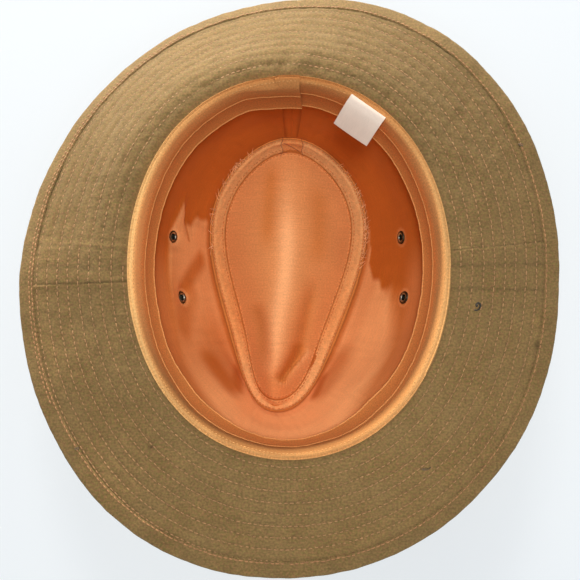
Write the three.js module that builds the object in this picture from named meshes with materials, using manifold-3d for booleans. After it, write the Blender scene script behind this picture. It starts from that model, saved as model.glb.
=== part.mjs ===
// Sewn cotton fedora with a stitched brim, a creased teardrop crown, a satin lining,
// a satin sweatband, four vent eyelets and a small cloth tab.
// It lies upside down on the ridge of its crown. Millimetres, +Z up, front of the hat towards -Y.

import * as THREE from 'three';
import { mergeVertices } from 'three/addons/utils/BufferGeometryUtils.js';
import Module from 'manifold-3d';

// Driving dimensions, in millimetres and degrees.
// They are given in the hat's own frame: the opening lies at z = 0 and the crown points to -Z.
// "around" is the angle round the hat from the front, through its +X side to the back.
// "along" runs down the crown's side from the rim (0) to the ridge (1).
const RIM = { halfWidth: 83.5, halfLength: 99.7, fullness: 0.013 };
const TEARDROP = { middle: 3.4, halfLength: 88.6, halfWidth: 47.9, taper: 9.6, waist: 4.1 };
const TEARDROP_LEAN = { reach: 7.5, power: 2.5 };
const RIDGE = { depth: 96.5, tilt: 4, land: 6 };
const SIDE_LEAN_AT_RIM = 0.3;
const DENT = { depth: 18, endPower: 1.2, frontSharpness: 1.6, crestShift: 0.25 };
const THICK = { shell: 1, lining: 1, brim: 2, binding: 1, seamBand: 1, tape: 1, label: 1 };
const GAP = 0.3;
const BRIM = { width: 63, bend: 0.4, edgeRoom: 1.4 };
const BINDING = { width: 6.8, under: GAP + THICK.binding, insideOver: -THICK.brim - GAP };
const SEAM_BAND = { outerEdge: -2.9, width: 9.5, frontNarrowing: 3 };
const BACK_TAPE = { width: 13, top: 0.365, bottom: 0.95 };
const SWEATBAND_LAP = { tailEnd: 176, hiddenEnd: 546, fullUntil: 190, flatFrom: 204 };
const EYELET = { hole: 1.7, barrel: 2.3, flange: 3.5, flangeThick: 0.8, bevel: 0.5 };
const EYELET_FIT = { seat: 0.5, holeRoom: 0.4 };
const LABEL = { around: 148.8, width: 21.8 };

// How far the brim's underside turns away from the opening's plane, on average over its width.
const BRIM_TURN = [
  { around: 0, turn: 8.5 },
  { around: 30, turn: 10.8 },
  { around: 60, turn: 10.0 },
  { around: 90, turn: 12.4 },
  { around: 120, turn: 11.8 },
  { around: 150, turn: 18.2 },
  { around: 180, turn: 28.8 },
  { around: 210, turn: 30.8 },
  { around: 240, turn: 24.4 },
  { around: 270, turn: 13.4 },
  { around: 300, turn: 8.6 },
  { around: 330, turn: 3.4 },
];

// The finger dents at the front of the crown.
const PINCHES = [
  { around: 36, spread: 17, depth: 7 },
  { around: -38, spread: 17, depth: 7 },
];

// Section of the sweatband from its lip over the rim down to its lower edge: the face that shows,
// the face towards the lining, and how far the lapped tail stands off the end under it.
const SWEATBAND_SECTION = [
  { depth: -1.5, inset: 0.5, backDepth: -0.4, backInset: 0.5, lapDepth: -1.5, lapInset: 0 },
  { depth: -2.4, inset: 1.7, backDepth: -1.2, backInset: 1.5, lapDepth: -1.6, lapInset: 0.2 },
  { depth: -1.0, inset: 3.7, backDepth: -0.4, backInset: 2.7, lapDepth: -1.2, lapInset: 1.4 },
  { depth: 5.0, inset: 4.5, backDepth: 5.0, backInset: 2.8, lapDepth: 0, lapInset: 2.1 },
  { depth: 14.5, inset: 4.4, backDepth: 14.5, backInset: 2.8, lapDepth: 0, lapInset: 1.9 },
  { depth: 22.0, inset: 4.0, backDepth: 22.0, backInset: 2.8, lapDepth: 0, lapInset: 1.6 },
  { depth: 30.0, inset: 5.0, backDepth: 30.0, backInset: 3.2, lapDepth: 0, lapInset: 2.1 },
];

// Section of the binding round the brim's edge: distance from the edge, and height over the underside.
const bindingOver = BINDING.insideOver - THICK.binding;
const BINDING_SECTION = [
  { fromEdge: BINDING.width, height: BINDING.under, backFromEdge: BINDING.width, backHeight: GAP },
  { fromEdge: 0.9, height: BINDING.under, backFromEdge: 1.1, backHeight: GAP },
  { fromEdge: 0, height: -THICK.brim / 2, backFromEdge: 1, backHeight: -THICK.brim / 2 },
  { fromEdge: 0.9, height: bindingOver, backFromEdge: 1.1, backHeight: BINDING.insideOver },
  {
    fromEdge: BINDING.width,
    height: bindingOver,
    backFromEdge: BINDING.width,
    backHeight: BINDING.insideOver,
  },
];

// Section of the cloth tab from where it is sewn to the sweatband's lip to its free edge.
const LABEL_SECTION = [
  { inward: 3.2, height: 3.2 },
  { inward: 6.2, height: 3.0 },
  { inward: 11.4, height: 0.6 },
  { inward: 18.8, height: -8.6 },
];

const EYELETS = [
  { name: 'eyelet_left_back', around: 257, along: 0.62 },
  { name: 'eyelet_left_front', around: 279, along: 0.69 },
  { name: 'eyelet_right_back', around: 103, along: 0.66 },
  { name: 'eyelet_right_front', around: 81, along: 0.59 },
];

// Faceting
const STATIONS_AROUND = 56;
const ROWS = { brim: 5, side: 7, tipDent: 4, tape: 5 };
const SIDE_ROW_CROWDING = 1.2;
const BRIM_STEPS = 24;
const EYELET_SIDES = 8;
const NORMAL_STEP = 1e-3;
const MERGE_WITHIN = 1e-3;

const { degToRad, clamp, lerp, smoothstep } = THREE.MathUtils;
const TURN_ROUND = 2 * Math.PI;

const cotton = new THREE.MeshStandardMaterial({ color: 0xa58a5a, roughness: 0.9, metalness: 0 });
const satin = new THREE.MeshStandardMaterial({ color: 0xd8854c, roughness: 0.45, metalness: 0 });
const agedBrass = new THREE.MeshStandardMaterial({ color: 0x6e5f41, roughness: 0.4, metalness: 0.9 });
const labelCloth = new THREE.MeshStandardMaterial({ color: 0xefdccb, roughness: 0.8, metalness: 0 });

// Smooth value of a table with evenly spaced rows round the hat.
function valueAround(table, column, angle) {
  const place = (((angle / TURN_ROUND) % 1) + 1) % 1 * table.length;
  const row = Math.floor(place);
  const part = place - row;
  const at = (offset) => table[(row + offset + table.length) % table.length][column];
  const [before, start, end, after] = [at(-1), at(0), at(1), at(2)];
  const bow = 2 * before - 5 * start + 4 * end - after + part * (3 * (start - end) + after - before);
  return start + 0.5 * part * (end - before + part * bow);
}

// The opening's outline: an ellipse, a little fuller between its axes.
function rimPoint(angle) {
  const full = 1 + RIM.fullness * Math.sin(2 * angle) ** 2;
  const x = RIM.halfWidth * full * Math.sin(angle);
  const y = -RIM.halfLength * full * Math.cos(angle);
  return new THREE.Vector3(x, y, 0);
}

// Level direction that points straight out of the opening's outline.
function rimOutward(angle) {
  return new THREE.Vector3(Math.sin(angle) / RIM.halfWidth, -Math.cos(angle) / RIM.halfLength, 0).normalize();
}

// Half width and middle line of the teardrop, where its outline has this cosine along its length.
function teardropAcross(cosine, grow) {
  const angle = Math.acos(cosine);
  const half = Math.sin(angle)
    * (TEARDROP.halfWidth + grow - TEARDROP.taper * cosine + TEARDROP.waist * Math.cos(3 * angle));
  const middle = -TEARDROP_LEAN.reach * ((1 + cosine) / 2) ** TEARDROP_LEAN.power;
  return { half, middle };
}

// Height of the ridge's plane in the hat's frame.
function ridgeHeight(y) {
  return -RIDGE.depth + Math.tan(degToRad(RIDGE.tilt)) * y;
}

// Outline of the crown's tip in the ridge's plane, grown or shrunk all round.
function teardropPoint(angle, grow) {
  const cosine = Math.cos(angle);
  const { half, middle } = teardropAcross(cosine, grow);
  const x = middle + Math.sign(Math.sin(angle)) * half;
  const y = TEARDROP.middle - (TEARDROP.halfLength + grow) * cosine;
  return new THREE.Vector3(x, y, ridgeHeight(y));
}

// Share of a pinch's depth: nothing at the rim and the ridge, and all of it two thirds of the way down.
function pinchShare(along) {
  return 27 / 4 * along ** 2 * (1 - along);
}

// Outer face of the crown's side.
function sidePoint(angle, along) {
  const rim = rimPoint(angle);
  const ridge = teardropPoint(angle, 0);
  const lean = SIDE_LEAN_AT_RIM * along + (1 - SIDE_LEAN_AT_RIM) * along ** 3;
  const point = rim.clone().lerp(ridge, lean);
  point.z = along * (ridge.z + THICK.shell + GAP);
  for (const pinch of PINCHES) {
    const turned = angle - degToRad(pinch.around);
    const off = Math.atan2(Math.sin(turned), Math.cos(turned));
    const spread = Math.exp(-((off / degToRad(pinch.spread)) ** 2));
    point.addScaledVector(rimOutward(angle), -pinch.depth * spread * pinchShare(along));
  }
  return point;
}

// Point at a depth inside the crown's outer face, measured square to that face.
function sideInset(angle, along, inset) {
  const roundwards = sidePoint(angle + NORMAL_STEP, along).sub(sidePoint(angle - NORMAL_STEP, along));
  const downwards = sidePoint(angle, along + NORMAL_STEP).sub(sidePoint(angle, along - NORMAL_STEP));
  const inward = roundwards.cross(downwards).normalize();
  inward.multiplyScalar(-Math.sign(inward.dot(rimOutward(angle))));
  return sidePoint(angle, along).addScaledVector(inward, inset);
}

// Share of the way down the side that lies at this depth below the opening.
function alongAtDepth(angle, depth) {
  return depth / -sidePoint(angle, 1).z;
}

// Point on the brim, at a distance from its root along the underside and at a height over it.
function brimPoint(angle, distance, height) {
  const edgeTurn = degToRad(valueAround(BRIM_TURN, 'turn', angle)) / (1 - BRIM.bend / 2);
  const turnAt = (reach) => edgeTurn * smoothstep(reach, 0, BRIM.width * BRIM.bend);
  let out = GAP;
  let drop = 0;
  for (let step = 0; step < BRIM_STEPS; step += 1) {
    const turn = turnAt(distance * (step + 0.5) / BRIM_STEPS);
    out += distance / BRIM_STEPS * Math.cos(turn);
    drop += distance / BRIM_STEPS * Math.sin(turn);
  }
  const turn = turnAt(distance);
  const point = rimPoint(angle).addScaledVector(rimOutward(angle), out + height * Math.sin(turn));
  point.z = height * Math.cos(turn) - drop;
  return point;
}

// Rise of the tip's dent over the ridge's plane. The dent is highest along a crest that runs from
// the back to the front, and it falls more steeply from the crest towards the front.
function dentRise(x, y) {
  const cosine = (TEARDROP.middle - y) / (TEARDROP.halfLength - RIDGE.land);
  if (Math.abs(cosine) >= 1) {
    return 0;
  }
  const { half, middle } = teardropAcross(cosine, -RIDGE.land);
  const frontness = (1 + cosine) / 2;
  const crest = middle - DENT.crestShift * half * frontness ** 2;
  const room = x > crest ? middle + half - crest : crest - middle + half;
  const side = clamp(Math.abs(x - crest) / room, 0, 1);
  const fall = (1 - side ** 2) ** (1 + DENT.frontSharpness * frontness ** 2);
  return DENT.depth * Math.sqrt(1 - cosine ** 2) ** DENT.endPower * fall;
}

// Point over the tip's lower face, between the middle of the tip (0) and an outline (1).
function tipPoint(angle, part, grow, height) {
  const edge = teardropPoint(angle, grow);
  const x = edge.x * part;
  const y = lerp(TEARDROP.middle, edge.y, part);
  return new THREE.Vector3(x, y, ridgeHeight(y) + dentRise(x, y) + height);
}

// Closed solid of cloth over a grid. face(column, row, side) gives a point of its front (side 0)
// or back (side 1), and the columns may wrap round to the first.
function clothSolid(columns, rows, wraps, face) {
  const points = [];
  for (let side = 0; side < 2; side += 1) {
    for (let column = 0; column < columns; column += 1) {
      for (let row = 0; row < rows; row += 1) {
        points.push(...face(column, row, side).toArray());
      }
    }
  }
  const at = (column, row, side) => (side * columns + column % columns) * rows + row;
  const triangles = [];
  const quad = (a, b, c, d) => triangles.push(a, b, c, a, c, d);
  const spans = wraps ? columns : columns - 1;
  for (let column = 0; column < spans; column += 1) {
    const next = column + 1;
    for (let row = 0; row < rows - 1; row += 1) {
      quad(at(column, row, 0), at(next, row, 0), at(next, row + 1, 0), at(column, row + 1, 0));
      quad(at(column, row, 1), at(column, row + 1, 1), at(next, row + 1, 1), at(next, row, 1));
    }
    quad(at(column, 0, 0), at(column, 0, 1), at(next, 0, 1), at(next, 0, 0));
    const end = rows - 1;
    quad(at(column, end, 0), at(next, end, 0), at(next, end, 1), at(column, end, 1));
  }
  if (!wraps) {
    const end = columns - 1;
    for (let row = 0; row < rows - 1; row += 1) {
      quad(at(0, row, 0), at(0, row + 1, 0), at(0, row + 1, 1), at(0, row, 1));
      quad(at(end, row, 0), at(end, row, 1), at(end, row + 1, 1), at(end, row + 1, 0));
    }
  }
  return solidGeometry(points, triangles);
}

// Indexed geometry with shared points merged, empty triangles dropped and its faces pointing out.
function solidGeometry(points, triangles) {
  const loose = new THREE.BufferGeometry();
  loose.setAttribute('position', new THREE.Float32BufferAttribute(points, 3));
  loose.setIndex(triangles);
  const merged = mergeVertices(loose, MERGE_WITHIN);
  const { position } = merged.attributes;
  const index = [];
  const corner = [new THREE.Vector3(), new THREE.Vector3(), new THREE.Vector3()];
  let volume = 0;
  for (let start = 0; start < merged.index.count; start += 3) {
    const [a, b, c] = [0, 1, 2].map((offset) => merged.index.getX(start + offset));
    if (a !== b && b !== c && c !== a) {
      index.push(a, b, c);
      [a, b, c].forEach((vertex, place) => corner[place].fromBufferAttribute(position, vertex));
      volume += corner[0].dot(corner[1].clone().cross(corner[2]));
    }
  }
  merged.setIndex(volume < 0 ? index.reverse() : index);
  merged.computeVertexNormals();
  return merged;
}

// Angle of an evenly spaced station round the hat.
function stationAngle(station) {
  return TURN_ROUND * station / STATIONS_AROUND;
}

// Cloth that goes right round the hat, from a function of the angle, the row and the side.
function ringSolid(rows, face) {
  const faceAt = (column, row, side) => face(stationAngle(column), row, side);
  return clothSolid(STATIONS_AROUND, rows, true, faceAt);
}

function brimSolid() {
  const reach = BRIM.width - BRIM.edgeRoom;
  return ringSolid(ROWS.brim, (angle, row, side) => (
    brimPoint(angle, reach * row / (ROWS.brim - 1), -THICK.brim * side)
  ));
}

function bindingSolid() {
  return ringSolid(BINDING_SECTION.length, (angle, row, side) => {
    const { fromEdge, height, backFromEdge, backHeight } = BINDING_SECTION[row];
    return side === 0
      ? brimPoint(angle, BRIM.width - fromEdge, height)
      : brimPoint(angle, BRIM.width - backFromEdge, backHeight);
  });
}

// A layer of the crown's side between two depths inside its outer face. Its rows lie closer
// together towards the ridge, where the side curves more.
function sideSolid(outerInset, thickness) {
  return ringSolid(ROWS.side, (angle, row, side) => {
    const along = 1 - (1 - row / (ROWS.side - 1)) ** SIDE_ROW_CROWDING;
    return sideInset(angle, along, outerInset + thickness * side);
  });
}

// How far the outlines of the tip's rim are shrunk: the seam band's inner edge, the inner edge of
// the flat land and the edge of the layer.
function tipRim(angle, grow) {
  const frontness = (1 + Math.cos(angle)) / 2;
  const bandWidth = SEAM_BAND.width - SEAM_BAND.frontNarrowing * frontness ** 4;
  return [SEAM_BAND.outerEdge - bandWidth, -RIDGE.land, grow];
}

// A layer of the crown's tip inside an outline, at a height over the tip's lower face.
function tipSolid(grow, height, thickness) {
  return ringSolid(ROWS.tipDent + 3, (angle, row, side) => {
    const rim = tipRim(angle, grow);
    const rise = height + thickness * side;
    return row < ROWS.tipDent
      ? tipPoint(angle, row / ROWS.tipDent, rim[0], rise)
      : tipPoint(angle, 1, rim[row - ROWS.tipDent], rise);
  });
}

function seamBandSolid(height) {
  return ringSolid(3, (angle, row, side) => (
    tipPoint(angle, 1, tipRim(angle, SEAM_BAND.outerEdge)[row], height + THICK.seamBand * side)
  ));
}

function backTapeSolid(inset) {
  const halfAngle = BACK_TAPE.width / 2 / RIM.halfWidth;
  return clothSolid(3, ROWS.tape, false, (column, row, side) => {
    const angle = Math.PI + halfAngle * (column - 1);
    const along = lerp(BACK_TAPE.top, BACK_TAPE.bottom, row / (ROWS.tape - 1));
    return sideInset(angle, along, inset + THICK.tape * side);
  });
}

// The sweatband goes once round from the end of its tail to the end that lies hidden under the tail.
function sweatbandSolid() {
  const columns = STATIONS_AROUND + 3;
  return clothSolid(columns, SWEATBAND_SECTION.length, false, (column, row, side) => {
    const degrees = lerp(SWEATBAND_LAP.tailEnd, SWEATBAND_LAP.hiddenEnd, column / (columns - 1));
    const angle = degToRad(degrees);
    const lap = 1 - smoothstep(degrees, SWEATBAND_LAP.fullUntil, SWEATBAND_LAP.flatFrom);
    const { depth, inset, backDepth, backInset, lapDepth, lapInset } = SWEATBAND_SECTION[row];
    const down = (side === 0 ? depth : backDepth) + lap * lapDepth;
    const inward = (side === 0 ? inset : backInset) + lap * lapInset;
    return sideInset(angle, alongAtDepth(angle, down), inward);
  });
}

// The tab is flat across its width and is bent over the sweatband's roll.
function labelSolid() {
  const angle = degToRad(LABEL.around);
  const inward = rimOutward(angle).negate();
  const across = new THREE.Vector3(-inward.y, inward.x, 0);
  return clothSolid(2, LABEL_SECTION.length, false, (column, row, side) => {
    const section = LABEL_SECTION[row];
    const point = rimPoint(angle).addScaledVector(inward, section.inward);
    point.addScaledVector(across, LABEL.width * (column - 0.5));
    point.z = section.height - THICK.label * side;
    return point;
  });
}

// Ring of one eyelet about its own Y axis, which points into the hat from the crown's outer face.
function eyeletSolid() {
  const wall = THICK.shell + GAP + THICK.lining;
  const outerSeat = -EYELET_FIT.seat;
  const innerSeat = wall + EYELET_FIT.seat;
  const outerEnd = outerSeat - EYELET.flangeThick;
  const innerEnd = innerSeat + EYELET.flangeThick;
  const profile = [
    [EYELET.hole, outerEnd],
    [EYELET.flange - EYELET.bevel, outerEnd],
    [EYELET.flange, outerSeat],
    [EYELET.barrel, outerSeat],
    [EYELET.barrel, innerSeat],
    [EYELET.flange, innerSeat],
    [EYELET.flange - EYELET.bevel, innerEnd],
    [EYELET.hole, innerEnd],
    [EYELET.hole, outerEnd],
  ].map(([radius, height]) => new THREE.Vector2(radius, height));
  const lathe = new THREE.LatheGeometry(profile, EYELET_SIDES);
  return solidGeometry([...lathe.attributes.position.array], [...lathe.index.array]);
}

// Turns and places an eyelet, or the cutter of its hole, on the crown's side.
function placeOnSide(object, { around, along }) {
  const angle = degToRad(around);
  const face = sideInset(angle, along, 0);
  const inward = sideInset(angle, along, 1).sub(face);
  object.position.copy(face);
  object.quaternion.setFromUnitVectors(new THREE.Vector3(0, 1, 0), inward);
  object.updateMatrix();
  return object;
}

// Joins and cuts
const wasm = await Module();
wasm.setup();

function toManifold(geometry) {
  return new wasm.Manifold(new wasm.Mesh({
    numProp: 3,
    vertProperties: new Float32Array(geometry.attributes.position.array),
    triVerts: new Uint32Array(geometry.index.array),
  }));
}

// Cuts the round eyelet holes through a layer of the crown's side.
function cutEyeletHoles(layer) {
  const radius = EYELET.barrel + EYELET_FIT.holeRoom;
  let solid = toManifold(layer);
  for (const eyelet of EYELETS) {
    const cylinder = new THREE.CylinderGeometry(radius, radius, 4 * EYELET.flange, EYELET_SIDES);
    const cutter = placeOnSide(new THREE.Mesh(cylinder), eyelet);
    cylinder.applyMatrix4(cutter.matrix);
    const closed = solidGeometry([...cylinder.attributes.position.array], [...cylinder.index.array]);
    solid = solid.subtract(toManifold(closed));
  }
  const mesh = solid.getMesh();
  return solidGeometry([...mesh.vertProperties], [...mesh.triVerts]);
}

// Assembly
const hat = new THREE.Group();

function addPiece(name, geometry, material) {
  const piece = new THREE.Mesh(geometry, material);
  piece.name = name;
  hat.add(piece);
  return piece;
}

const liningInset = THICK.shell + GAP;
const liningFace = liningInset + THICK.lining;

addPiece('brim', brimSolid(), cotton);
addPiece('brim_binding', bindingSolid(), cotton);
addPiece('crown_side', cutEyeletHoles(sideSolid(0, THICK.shell)), cotton);
addPiece('crown_tip', tipSolid(0, 0, THICK.shell), cotton);
addPiece('lining_side', cutEyeletHoles(sideSolid(liningInset, THICK.lining)), satin);
addPiece('lining_tip', tipSolid(SEAM_BAND.outerEdge, liningInset, THICK.lining), satin);
addPiece('tip_seam_band', seamBandSolid(liningFace + GAP), satin);
addPiece('back_seam_tape', backTapeSolid(liningFace + GAP), satin);
addPiece('sweatband', sweatbandSolid(), satin);
for (const eyelet of EYELETS) {
  placeOnSide(addPiece(eyelet.name, eyeletSolid(), agedBrass), eyelet);
}
addPiece('label_tab', labelSolid(), labelCloth);

// The hat is turned so that the ridge of its crown lies flat on z = 0, under the middle of its outline.
hat.rotation.x = -degToRad(RIDGE.tilt);
const box = new THREE.Box3().setFromObject(hat, true);
const middle = box.getCenter(new THREE.Vector3());
hat.position.set(-middle.x, -middle.y, -box.min.z);

const fedora = new THREE.Group();
fedora.add(hat);

export default fedora;
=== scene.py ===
"""Dresses a sewn cotton fedora that lies upside down on the ridge of its crown.

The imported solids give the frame. Each cloth piece is built again over the same sizes as a fine closed
shell, with its seams, stitches, creases and loose threads.

Sizes are in millimetres in the hat's own frame: the opening lies at z = 0, the crown points to -Z and the
front of the hat to -Y. HatForm.place turns and moves points to the frame of the solids, in metres.
"""

import logging
import math
from collections.abc import Callable, Sequence
from dataclasses import dataclass, field, replace
from enum import Enum
from functools import partial, reduce

import bpy
import numpy as np
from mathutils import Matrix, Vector


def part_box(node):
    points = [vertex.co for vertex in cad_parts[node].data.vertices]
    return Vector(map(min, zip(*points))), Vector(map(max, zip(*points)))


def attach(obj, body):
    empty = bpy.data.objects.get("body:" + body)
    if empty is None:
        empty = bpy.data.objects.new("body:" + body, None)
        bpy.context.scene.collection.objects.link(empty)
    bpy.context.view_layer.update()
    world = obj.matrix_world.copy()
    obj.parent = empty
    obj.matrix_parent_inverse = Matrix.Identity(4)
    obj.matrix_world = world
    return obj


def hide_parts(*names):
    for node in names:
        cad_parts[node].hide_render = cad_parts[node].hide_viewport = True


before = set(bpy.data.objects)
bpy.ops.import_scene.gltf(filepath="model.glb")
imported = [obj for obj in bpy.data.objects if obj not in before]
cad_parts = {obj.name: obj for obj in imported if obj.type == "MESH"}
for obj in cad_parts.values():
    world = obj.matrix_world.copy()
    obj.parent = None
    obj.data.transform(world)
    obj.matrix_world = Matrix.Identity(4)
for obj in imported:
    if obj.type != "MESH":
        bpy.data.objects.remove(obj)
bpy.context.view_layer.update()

Array = np.ndarray
Pair = tuple[float, float]
Colour = tuple[float, float, float]
Face = Callable[[Array, Array], Array]
Ripples = tuple[tuple[float, float, int], ...]
Piece = bpy.types.Object
Socket = bpy.types.NodeSocket
Material = bpy.types.Material

MM = 0.001
FULL_TURN = 2 * math.pi
UP = np.array([0.0, 0.0, 1.0])
BACKWARDS = np.array([0.0, 1.0, 0.0])
SMALL_STEPS = (1e-3, 1e-3)
NOISE_WAVES = 20
FOLD_POINTS = 40
THREAD_SIDES = 5
SEAM_POINTS = 1200
SHARP_EDGE = math.radians(50)
BODY = "root"
TONE = "tone"
WEAVE = "weave"

log = logging.getLogger("fedora")


class Slot(Enum):
    """Material slots of the record."""

    COTTON = "cotton_cloth"
    SATIN = "satin_lining"
    BRASS = "aged_brass"
    LABEL = "label_cloth"


# Small helpers for numbers


def stack(x: Array, y: Array, z: Array) -> Array:
    """Points from their three coordinates."""
    return np.stack(np.broadcast_arrays(x, y, z), axis=-1).astype(float)


def unit(vectors: Array) -> Array:
    """Vectors of length one."""
    return vectors / np.maximum(np.linalg.norm(vectors, axis=-1, keepdims=True), 1e-12)


def smoothstep(value: Array, low: float, high: float) -> Array:
    """Smooth rise from 0 at low to 1 at high."""
    part = np.clip((value - low) / (high - low), 0.0, 1.0)
    return part * part * (3 - 2 * part)


def bell(offset: Array, spread: float) -> Array:
    """Smooth bump that is 1 at no offset."""
    return np.exp(-((offset / spread) ** 2))


def turned_from(angle: Array, degrees: float) -> Array:
    """Angle past a place round the hat, from minus half a turn to half a turn."""
    turned = angle - math.radians(degrees)
    return np.arctan2(np.sin(turned), np.cos(turned))


def between(before: Array, start: Array, end: Array, after: Array, part: Array) -> Array:
    """Smooth curve from start (part 0) to end (part 1) that heads on to the next value."""
    bow = 2 * before - 5 * start + 4 * end - after + part * (3 * (start - end) + after - before)
    return start + 0.5 * part * (end - before + part * bow)


def value_around(values: Sequence[float], angle: Array) -> Array:
    """Smooth value of a table with evenly spaced rows round the hat.

    Args:
        values: One value for each row, the first at the front.
        angle: Angles round the hat, in radians.

    Returns:
        The value at each angle.
    """
    table = np.asarray(values)
    place = np.mod(angle / FULL_TURN, 1.0) * len(table)
    row = np.floor(place).astype(int)
    at = [table[(row + offset) % len(table)] for offset in (-1, 0, 1, 2)]
    return between(*at, place - row)


def curve_through(points: Sequence[Sequence[float]], count: int) -> Array:
    """Smooth open curve through points.

    Args:
        points: Rows of coordinates that the curve passes through.
        count: How many points to give along it.

    Returns:
        The curve's points, evenly spread over the spans.
    """
    rows = np.asarray(points, dtype=float)
    ends = np.vstack([2 * rows[0] - rows[1], rows, 2 * rows[-1] - rows[-2]])
    place = np.linspace(0, len(rows) - 1, count)
    row = np.minimum(place.astype(int), len(rows) - 2)
    at = [ends[row + offset] for offset in range(4)]
    return between(*at, (place - row)[:, None])


def even_angles(count: int) -> Array:
    """Angles evenly spread over a full turn."""
    return np.arange(count) * FULL_TURN / count


def grid(first: Array, second: Array) -> tuple[Array, Array]:
    """Two values at all the points of a grid, whose columns follow the first."""
    return tuple(np.meshgrid(first, second, indexing="ij"))


def wrapped(angle: Array, radius: Array, height: Array) -> Array:
    """Places on a tube, where noise joins up with itself round the hat."""
    return stack(radius * np.cos(angle), radius * np.sin(angle), height)


def reach_along(points: Array) -> Array:
    """Length of a line from its start to each of its points."""
    return np.concatenate([[0], np.cumsum(np.linalg.norm(np.diff(points, axis=0), axis=1))])


def soft_noise(points: Array, size: float, seed: int) -> Array:
    """Smooth seeded noise, mostly between -1 and 1.

    Args:
        points: Places, in millimetres.
        size: Rough width of its bumps.
        seed: Seed of the random waves.

    Returns:
        The noise at each place.
    """
    draw = np.random.default_rng(seed)
    directions = unit(draw.normal(size=(NOISE_WAVES, points.shape[-1])))
    pace = math.pi / size * draw.uniform(0.6, 1.5, NOISE_WAVES)
    phase = draw.uniform(0, FULL_TURN, NOISE_WAVES)
    total = np.cos(points @ (directions * pace[:, None]).T + phase).sum(axis=-1)
    return total * 0.6 * math.sqrt(2 / NOISE_WAVES)


def ripples(points: Array, kinds: Ripples) -> Array:
    """Sum of soft noises, each given by its height, the width of its bumps and its seed."""
    return sum(height * soft_noise(points, size, seed) for height, size, seed in kinds)


def normals_on(face: Face, first: Array, second: Array, steps: Pair, side: float) -> Array:
    """Directions square to a face.

    Args:
        face: Gives points from two values.
        first: First values of the places.
        second: Second values of the places.
        steps: Small steps of the two values.
        side: 1 or -1, the side of the face to point to.

    Returns:
        One direction of length one for each place.
    """
    along_first = face(first + steps[0], second) - face(first - steps[0], second)
    along_second = face(first, second + steps[1]) - face(first, second - steps[1])
    return side * unit(np.cross(along_first, along_second))


@dataclass(frozen=True)
class Patch:
    """A soft patch round the hat: its middle in degrees, half width in radians and amount."""

    around: float
    spread: float
    amount: float

    def at(self, angle: Array) -> Array:
        """Amount of the patch at angles round the hat."""
        return self.amount * bell(turned_from(angle, self.around), self.spread)


# Shape of the hat


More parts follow.
